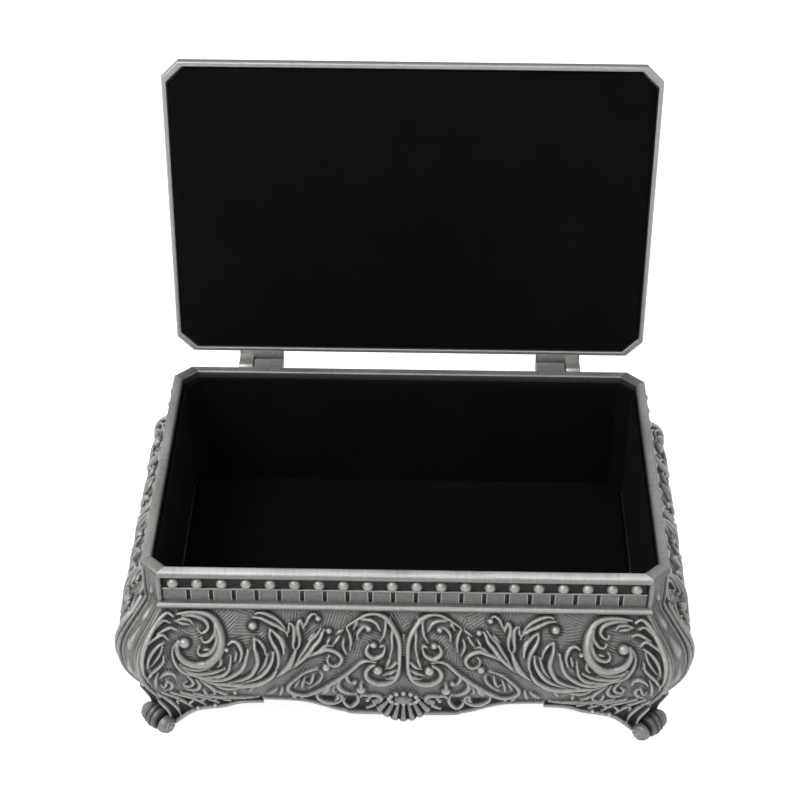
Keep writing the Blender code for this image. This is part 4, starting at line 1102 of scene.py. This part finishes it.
def card(name):
    n = Nodes(name)
    where = n.add("ShaderNodeTexCoord").outputs["Object"]
    fibre = n.noise(where, 900.0, 5.0, 0.7)
    n.put(n.shader.inputs["Base Color"], n.ramp(fibre, [(0.3, (0.24, 0.22, 0.2)), (0.7, (0.34, 0.32, 0.28))]))
    n.shader.inputs["Roughness"].default_value = 0.85
    n.put(n.shader.inputs["Normal"], n.bump(fibre, 0.2, 0.0001))
    return n.material


def floor_material(name):
    """A white floor that the camera and reflections see as white, with the object's soft shadow."""
    n = Nodes(name)
    n.put(n.shader.inputs["Base Color"], (0.86, 0.86, 0.86, 1))
    n.shader.inputs["Roughness"].default_value = 0.8
    n.shader.inputs["Specular IOR Level"].default_value = 0.1
    grain = n.noise(n.add("ShaderNodeTexCoord").outputs["Object"], 60.0, 4.0)
    n.put(n.shader.inputs["Normal"], n.bump(grain, 0.02, 0.0002))
    n.put(n.shader.inputs["Emission Color"], (1, 1, 1, 1))
    n.put(n.shader.inputs["Emission Strength"], n.math("MULTIPLY", seen_directly(n), 0.84))
    return n.material


def seen_directly(n):
    """1 for what the camera sees, also in metal and through glass, and 0 for the light on the object."""
    path = n.add("ShaderNodeLightPath")
    seen = n.math("MAXIMUM", path.outputs["Is Camera Ray"], path.outputs["Is Glossy Ray"])
    return n.math("MAXIMUM", seen, path.outputs["Is Transmission Ray"])


# Plates with eight sides: pads, felt and the lid's dome


def plate(shell, half_x, half_y, cut, face, plane, spacing, tone=0.5, ground=0.0, place=None):
    """A plate whose face is a function of x, y and the distance from its edge, closed at a plane. tone,
    ground and place may be functions of x and y."""
    ys = np.linspace(-half_y, half_y, int(2 * half_y / spacing) + 1)
    q = np.linspace(-1, 1, int(2 * half_x / spacing) + 1)
    x_max = np.minimum(half_x, half_x + half_y - cut - np.abs(ys))
    x = q[None, :] * x_max[:, None]
    y = ys[:, None] + 0 * x
    sides = [half_x - np.abs(x), half_y - np.abs(y),
             (half_x + half_y - cut - np.abs(x) - np.abs(y)) / math.sqrt(2)]
    near = sum(np.maximum(d, 1e-3) ** -5.0 for d in sides) ** -0.2
    top = np.stack([x, y, face(x, y, near)], -1)
    points = np.pad(top, ((1, 1), (1, 1), (0, 0)), mode="edge")
    for edge in (points[0], points[-1], points[:, 0], points[:, -1]):
        edge[..., 2] = plane
    rows, cols = points.shape[:2]
    index = np.arange(rows * cols).reshape(rows, cols)
    loop = np.concatenate([index[0, :-1], index[:-1, -1], index[-1, :0:-1], index[:0:-1, 0]])

    def over_skirt(values):
        if not callable(values):
            return values
        values = values(x, y)
        return np.pad(values, ((1, 1), (1, 1)) + ((0, 0),) * (values.ndim - 2), mode="edge")

    shell.add(points, [quads_of(index), loop[None, :]], over_skirt(tone), over_skirt(ground), over_skirt(place))


def waves(x, y, seed, scale=1.0):
    """Soft irregular folds, between about -1 and 1."""
    total = 0 * x
    for k in range(7):
        turn = seed + 2.4 * k
        length = scale * (34.0 - 3.9 * k)
        along = x * math.cos(turn) + y * math.sin(turn)
        total = total + np.sin(2 * math.pi * along / length + 1.7 * k * seed) / (k + 2)
    return total / 1.6


def octagon(out, cut, per_side=1):
    """Points round a plan with eight sides, from its own middle."""
    a, b = HALF_W + out, HALF_D + out
    corners = [(a, -b + cut), (a, b - cut), (a - cut, b), (-a + cut, b), (-a, b - cut), (-a, -b + cut),
               (-a + cut, -b), (a - cut, -b)]
    points = []
    for (x0, y0), (x1, y1) in zip(corners, corners[1:] + corners[:1]):
        for k in range(per_side):
            points.append((x0 + (x1 - x0) * k / per_side, y0 + (y1 - y0) * k / per_side))
    return np.array(points)


LID_MIDDLE = -HINGE_BACK - HALF_D
# The lid's moulding as (out, rise, tone) round its section: the tone is painted highlight on the rounded edges
# and painted shade in the grooves and on the undersides.
LID_SECTION = [
    (-7.4, 4.3, 0.1), (-7.4, 2.4, 0.2), (-4.6, 1.9, 0.2), (-3.4, 1.55, 0.2), (-1.42, 1.5, 0.15),
    (-1.42, 0.25, 0.45), (-1.3, 0.05, 0.8), (-1.05, 0.0, 0.72), (-0.35, 0.0, 0.7), (-0.1, 0.1, 0.88),
    (0.0, 0.35, 0.8), (0.02, 0.9, 0.5), (0.02, 2.2, 0.48), (-0.05, 2.6, 0.7), (-0.25, 2.88, 0.9),
    (-0.6, 3.0, 0.8), (-1.6, 3.02, 0.55), (-2.5, 3.04, 0.45), (-2.75, 3.14, 0.2), (-2.95, 3.6, 0.5),
    (-3.15, 3.92, 0.85), (-3.5, 4.04, 0.7), (-3.75, 3.9, 0.3), (-4.0, 3.62, 0.08), (-5.2, 3.62, 0.08),
    (-5.45, 3.9, 0.3), (-5.7, 4.15, 0.75), (-6.1, 4.28, 0.9), (-6.4, 4.2, 0.5), (-6.7, 3.9, 0.1),
]


def lid_relief():
    relief = Relief(-6, 72, -3, 48)
    for text in (CENTRE, STEM, PLUMES, FRONDS, VOLUTE, EDGE_LEAVES):
        draw(relief, text, lambda s, t: (s * 0.885 + 0.3, t * 1.04 + 3.2), 0.95, lambda s, t: t < 40)
    for k in range(24):
        turn = math.pi * (k + 0.5) / 24
        relief.knob(8.2 * math.sin(turn), 43.2 - 6.4 * abs(math.cos(turn)), 0.6)
    relief.knob(0, 43.2, 5.6, 1.8, 0.72)
    relief.finish()
    return relief


def lid_casting(material):
    shell = Shell()
    rows = []
    for out, rise, _ in LID_SECTION:
        ring = octagon(out, CUT, 24)
        rows.append(np.column_stack([ring[:, 0], ring[:, 1] + LID_MIDDLE, np.full(len(ring), LID_RISE + rise)]))
    tones = np.repeat(np.array([tone for _, _, tone in LID_SECTION])[:, None], len(rows[0]), 1)
    rows = np.stack(rows)
    walk = np.arange(rows.shape[1])[None, :] * 3.0 + 0 * tones
    places = np.stack([walk + 1400, np.cumsum(np.ones_like(tones), 0), BRUSHED + 0 * tones], -1)
    shell.grid(rows, tones, 0.0, places, wrap_rows=True, wrap_cols=True)
    relief = lid_relief()
    half_x, half_y = HALF_W - 6.35, HALF_D - 6.35

    def face(x, y, near):
        u = np.clip(near / 20.0, 0, 1)
        height = relief.read(relief.height, np.abs(x), half_y - np.abs(y)) * np.clip(near / 1.2, 0, 1)
        return LID_RISE + 3.7 + 4.7 * (1 - (1 - u) ** 2.2) + height

    dome = Shell()
    plate(
        dome, half_x, half_y, CUT, face, LID_RISE + 3.2, 0.36,
        lambda x, y: relief.read(relief.tone, np.abs(x), half_y - np.abs(y)),
        lambda x, y: relief.read(relief.ground, np.abs(x), half_y - np.abs(y)),
        lambda x, y: np.stack([x + 1700, y, 0 * x], -1),
    )
    for part in dome.points:
        part[:, 1] += LID_MIDDLE
    border = octagon(-4.6, CUT - 0.6)
    for (x0, y0), (x1, y1) in zip(border, np.roll(border, -1, 0)):
        length = math.hypot(x1 - x0, y1 - y0)
        n = max(2, round(length / 2.45))
        for k in range(n):
            x, y = x0 + (x1 - x0) * k / n, y0 + (y1 - y0) * k / n
            shell.ball((x, y + LID_MIDDLE, LID_RISE + 3.95), np.diag([0.98, 0.98, 0.8]), 0.8, 12, 6)
    for side in (-1, 1):
        middle = side * KNUCKLE_X
        tab = [(-HINGE_BACK - 1.1, LID_RISE), (2.1, LID_RISE), (2.4, LID_RISE + 0.4), (2.4, LID_RISE + 1.9),
               (1.9, LID_RISE + 2.4), (-HINGE_BACK - 1.1, LID_RISE + 2.4)]
        shell.prism(tab, middle - HINGE_HALF, middle + HINGE_HALF, 0.35)
        low = middle + HINGE_HALF - LID_KNUCKLE if side > 0 else middle - HINGE_HALF
        heel = [(-2.4, LID_RISE + 1.2), (-2.4, -2.3), (-2.2, -2.7), (-1.2, -3.5), (1.9, -3.5), (2.3, -3.3),
                (2.4, -2.9), (2.4, LID_RISE + 1.2)]
        shell.prism(heel, low, low + LID_KNUCKLE, 0.3)
    matrix = lid_matrix()
    casting = piece(shell.make("lid_rim", material, 55, matrix), "lid", ("lid_casting",))
    top = piece(dome.make("lid_dome", material, 0, matrix), "lid", ("lid_casting",))
    return casting, top


def lid_matrix():
    """From the closed lid's place about the hinge axis, in millimetres, to where it stands open."""
    turn = Matrix.Rotation(-OPEN_ANGLE, 4, "X")
    return Matrix.Translation((0, AXIS_Y * MM, AXIS_Z * MM)) @ turn


# Hinge parts of the box


def hinge_parts(shell):
    wall = BOX_Y + HALF_D
    for side in (-1, 1):
        middle = side * KNUCKLE_X
        low = middle - HINGE_HALF if side > 0 else middle + HINGE_HALF - BOX_KNUCKLE
        outline = []
        for k in range(13):
            turn = math.pi / 2 - math.pi * k / 12
            outline.append((AXIS_Y + KNUCKLE_RADIUS * math.cos(turn), AXIS_Z + KNUCKLE_RADIUS * math.sin(turn)))
        outline += [(wall - 1.2, AXIS_Z - KNUCKLE_RADIUS), (wall - 1.2, AXIS_Z + KNUCKLE_RADIUS)]
        shell.prism(outline, low, low + BOX_KNUCKLE, 0.3)
        seat = [(wall - 2.4, 54.8), (wall - 0.25, 54.8), (wall - 0.1, 55.1), (wall - 0.1, 59.9),
                (wall - 0.25, 60.2), (wall - 2.4, 60.2)]
        shell.prism(seat, middle - HINGE_HALF - 1, middle + HINGE_HALF + 1, 0.25, 0.4, 0.6)


# Linings


def lining(name, material, half, place_on, seed, chamfers):
    """Velvet over card against one wall, a little fuller in its middle."""
    out_back, out_face, low_z, top_z = -3.32, -4.45, 18.85, 58.95
    shell = Shell()
    n = int(2 * half / 2.2)
    q = np.linspace(-1, 1, n + 1)
    v = np.linspace(0, 1, 22)
    section = [(out_back, low_z + (top_z - 0.4 - low_z) * k, 0.0) for k in (0, 0.5, 1)]
    section += [(out_back - 0.15, top_z - 0.1, 0), (out_back - 0.45, top_z, 0),
                (out_face + 0.3, top_z - 0.05, 0), (out_face + 0.06, top_z - 0.3, 0)]
    section += [(out_face, top_z - 0.6 - (top_z - 0.8 - low_z) * k, math.sin(math.pi * k) ** 0.6) for k in v]
    out = np.array([p[0] for p in section])[:, None]
    z = np.array([p[1] for p in section])[:, None]
    puff = np.array([p[2] for p in section])[:, None]
    limit = half + SPREAD * out
    s = q[None, :] * limit
    swell = puff * (0.16 + 0.17 * waves(s, z, seed, 1.0)) * np.clip((1 - np.abs(q[None, :])) * 12, 0, 1)
    rows = [place_on(s, out - swell, z + 0 * s)]
    if chamfers:
        corner = limit + cut_at(out)
        first = place_on(-corner + 0 * out, out - cut_at(out), z)
        last = place_on(corner + 0 * out, out - cut_at(out), z)
        rows = [first, *rows, last]
    shell.grid(np.concatenate(rows, 1), 0.5, wrap_rows=True, caps=True)
    obj = shell.make(name + "_velvet", material, 40)
    return piece(obj, "box", (name,))


def pad_face(low, high, edge, crown, seed, amount, scale=1.0):
    """The face of a stuffed plate: a rolled edge, a slight crown and soft folds."""

    def face(x, y, near):
        roll = np.sqrt(np.clip(1 - (1 - np.clip(near / edge, 0, 1)) ** 2, 0, 1))
        inner = np.clip(near / 9.0, 0, 1)
        swell = crown * (1 - (1 - inner) ** 2) + amount * waves(x, y, seed, scale) * inner
        return low + (high - low) * roll + np.sign(high - low) * swell

    return face


def pad(name, node, material, inset, cut, face, plane, spacing, on_lid=False):
    """A stuffed plate on the box, or on the lid's own frame."""
    shell = Shell()
    plate(shell, HALF_W - inset, HALF_D - inset, cut, face, plane, spacing)
    for part in shell.points:
        part[:, 1] += LID_MIDDLE if on_lid else BOX_Y
    obj = shell.make(name, material, 60, lid_matrix() if on_lid else None)
    return piece(obj, "lid" if on_lid else "box", (node,))


def pads(velvet, felt):
    face = pad_face(18.85, 20.3, 1.4, 0.25, 0.7, 0.22)
    obj = pad("floor_velvet", "floor_pad", velvet, 4.85, cut_at(-4.85), face, 18.82, 1.0)
    face = pad_face(LID_RISE + 0.85, LID_RISE + 0.15, 1.1, 0.16, 2.1, 0.12, 1.5)
    obj = pad("lid_pad", "lid_velvet", velvet, 1.75, CUT, face, LID_RISE + 0.88, 1.0, True)
    face = pad_face(16.95, 16.1, 0.5, 0.02, 1.3, 0.05)
    pad("under_felt", "base_felt", felt, 6.4, cut_at(-6.4), face, 16.98, 1.6)


# Putting the box together


def build():
    metal = antique_metal("antique_pewter")
    velvet = cloth("velvet", (0.0012, 0.0013, 0.0018), (0.0032, 0.0034, 0.0046), 0.008, 2600.0)
    felt = cloth("felt", (0.012, 0.012, 0.013), (0.026, 0.026, 0.027), 0.05, 1500.0)
    pin, board = steel("drawn_steel"), card("grey_card")

    long_ornament, short_ornament = long_relief(), short_relief()
    short_edge = [(s * APRON_SHARE, t) for s, t in APRON_EDGE[:-1]]
    short_edge += [(SHORT_WING - 0.3, 35.7), (SHORT_WING, BASE_T), (75, BASE_T)]
    long_edge = APRON_EDGE + [(LONG_WING, BASE_T), (80, BASE_T)]
    blocked = [(KNUCKLE_X - 9.5, KNUCKLE_X + 9.5)]
    walls = (
        ("front_wall", long_ornament, LONG_HALF, long_edge, to_front, 0, True, ()),
        ("back_wall", long_ornament, LONG_HALF, long_edge, to_back, 200, True, blocked),
        ("right_wall", short_ornament, SHORT_HALF, short_edge, to_right, 700, False, ()),
        ("left_wall", short_ornament, SHORT_HALF, short_edge, to_left, 900, False, ()),
    )
    for name, ornament, half, edge, place_on, seed, long_wall, skip in walls:
        shell = Shell()
        panel(shell, ornament, half, edge, place_on, seed)
        piece(shell.make(name + "_relief", metal, 0), "box", (name,))
        shell = Shell()
        band_half = half - (0 if long_wall else 0.05)
        # Painted shade: the back wall's and the short walls' rim bands are painted darker than the front's.
        painted_shade = {"front_wall": 1.0, "back_wall": 0.8}.get(name, 0.72)
        cornice(shell, band_half, place_on, seed + 37, RIM_SECTION, False, long_wall, painted_shade)
        cornice(shell, band_half, place_on, seed + 53, CORNICE_SECTION, True, False)
        beads(shell, half, place_on, skip)
        fan(shell, place_on)
        if name == "back_wall":
            hinge_parts(shell)
        piece(shell.make(name + "_cornice", metal, 40), "box", (name,))
    for end, sy in (("front", 1), ("back", -1)):
        shell = Shell()
        for sx in (-1, 1):
            column(shell, corner_frame(sx, sy), 1000 * sx, COLUMN_TOP, BASE_T + 0.6)
        piece(shell.make(f"{end}_columns", metal, 0), "box", (f"{end}_wall",))
        for side, sx in (("left", -1), ("right", 1)):
            foot(f"foot_{end}_{side}_casting", sx, sy, long_ornament, short_ornament, metal)
    lid_casting(metal)
    for name, half, place_on, seed, long_wall in (
        ("front_lining", LONG_HALF, to_front, 0.3, True),
        ("back_lining", LONG_HALF, to_back, 1.1, True),
        ("right_lining", SHORT_HALF - 0.35, to_right, 1.9, False),
        ("left_lining", SHORT_HALF - 0.35, to_left, 2.6, False),
    ):
        lining(name, velvet, half, place_on, seed, long_wall)
    pads(velvet, felt)
    for name, material in (("hinge_pin_left", pin), ("hinge_pin_right", pin), ("bottom_plate", pin),
                           ("lid_board", board)):
        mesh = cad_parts[name].data
        mesh.materials.clear()
        mesh.materials.append(material)


def area_light(name, place, aim, size, power):
    data = bpy.data.lights.new(name, "AREA")
    data.shape = "RECTANGLE"
    data.size, data.size_y = size
    data.energy = power
    obj = bpy.data.objects.new(name, data)
    obj.location = place
    obj.rotation_euler = (Vector(aim) - Vector(place)).to_track_quat("-Z", "Y").to_euler()
    bpy.context.scene.collection.objects.link(obj)


# Where the photograph was taken from: azimuth, elevation and roll in degrees, place in metres, lens on 36 mm
CAMERA_ANGLES = (-0.780, 36.615, 0.324)
CAMERA_PLACE = (0.004060, -0.467887, 0.428243)
CAMERA_LENS = 89.453


def studio():
    floor = bpy.data.meshes.new("floor")
    floor.from_pydata([(-3, -3, 0), (3, -3, 0), (3, 3, 0), (-3, 3, 0)], [], [(0, 1, 2, 3)])
    floor.materials.append(floor_material("studio_floor"))
    stage = bpy.data.objects.new("studio_floor", floor)
    bpy.context.scene.collection.objects.link(stage)

    world = bpy.data.worlds.new("studio")
    sky = Nodes("studio", world)
    sky.put(sky.shader.inputs["Color"], (1, 1, 1, 1))
    sky.put(sky.shader.inputs["Strength"], sky.math("ADD", 0.5, sky.math("MULTIPLY", seen_directly(sky), 0.5)))
    bpy.context.scene.world = world
    area_light("key", (-0.5, -0.35, 0.8), (0, 0, 0.03), (0.5, 0.4), 6)
    area_light("front", (0.2, -1.1, 0.6), (0, 0, 0.05), (0.9, 0.5), 2)

    azimuth, elevation, roll = (math.radians(angle) for angle in CAMERA_ANGLES)
    flat = math.cos(elevation)
    ahead = Vector((math.sin(azimuth) * flat, math.cos(azimuth) * flat, -math.sin(elevation)))
    level = ahead.cross(Vector((0, 0, 1))).normalized()
    up = level.cross(ahead)
    right = level * math.cos(roll) + up * math.sin(roll)
    up = right.cross(ahead)
    data = bpy.data.cameras.new("camera")
    data.sensor_width = 36
    data.lens = CAMERA_LENS
    data.clip_start, data.clip_end = 0.01, 20
    camera = bpy.data.objects.new("camera", data)
    turn = Matrix((right, up, -ahead)).transposed().to_4x4()
    camera.matrix_world = Matrix.Translation(CAMERA_PLACE) @ turn
    bpy.context.scene.collection.objects.link(camera)
    bpy.context.scene.camera = camera
    bpy.context.scene.view_settings.view_transform = "Standard"


build()
studio()
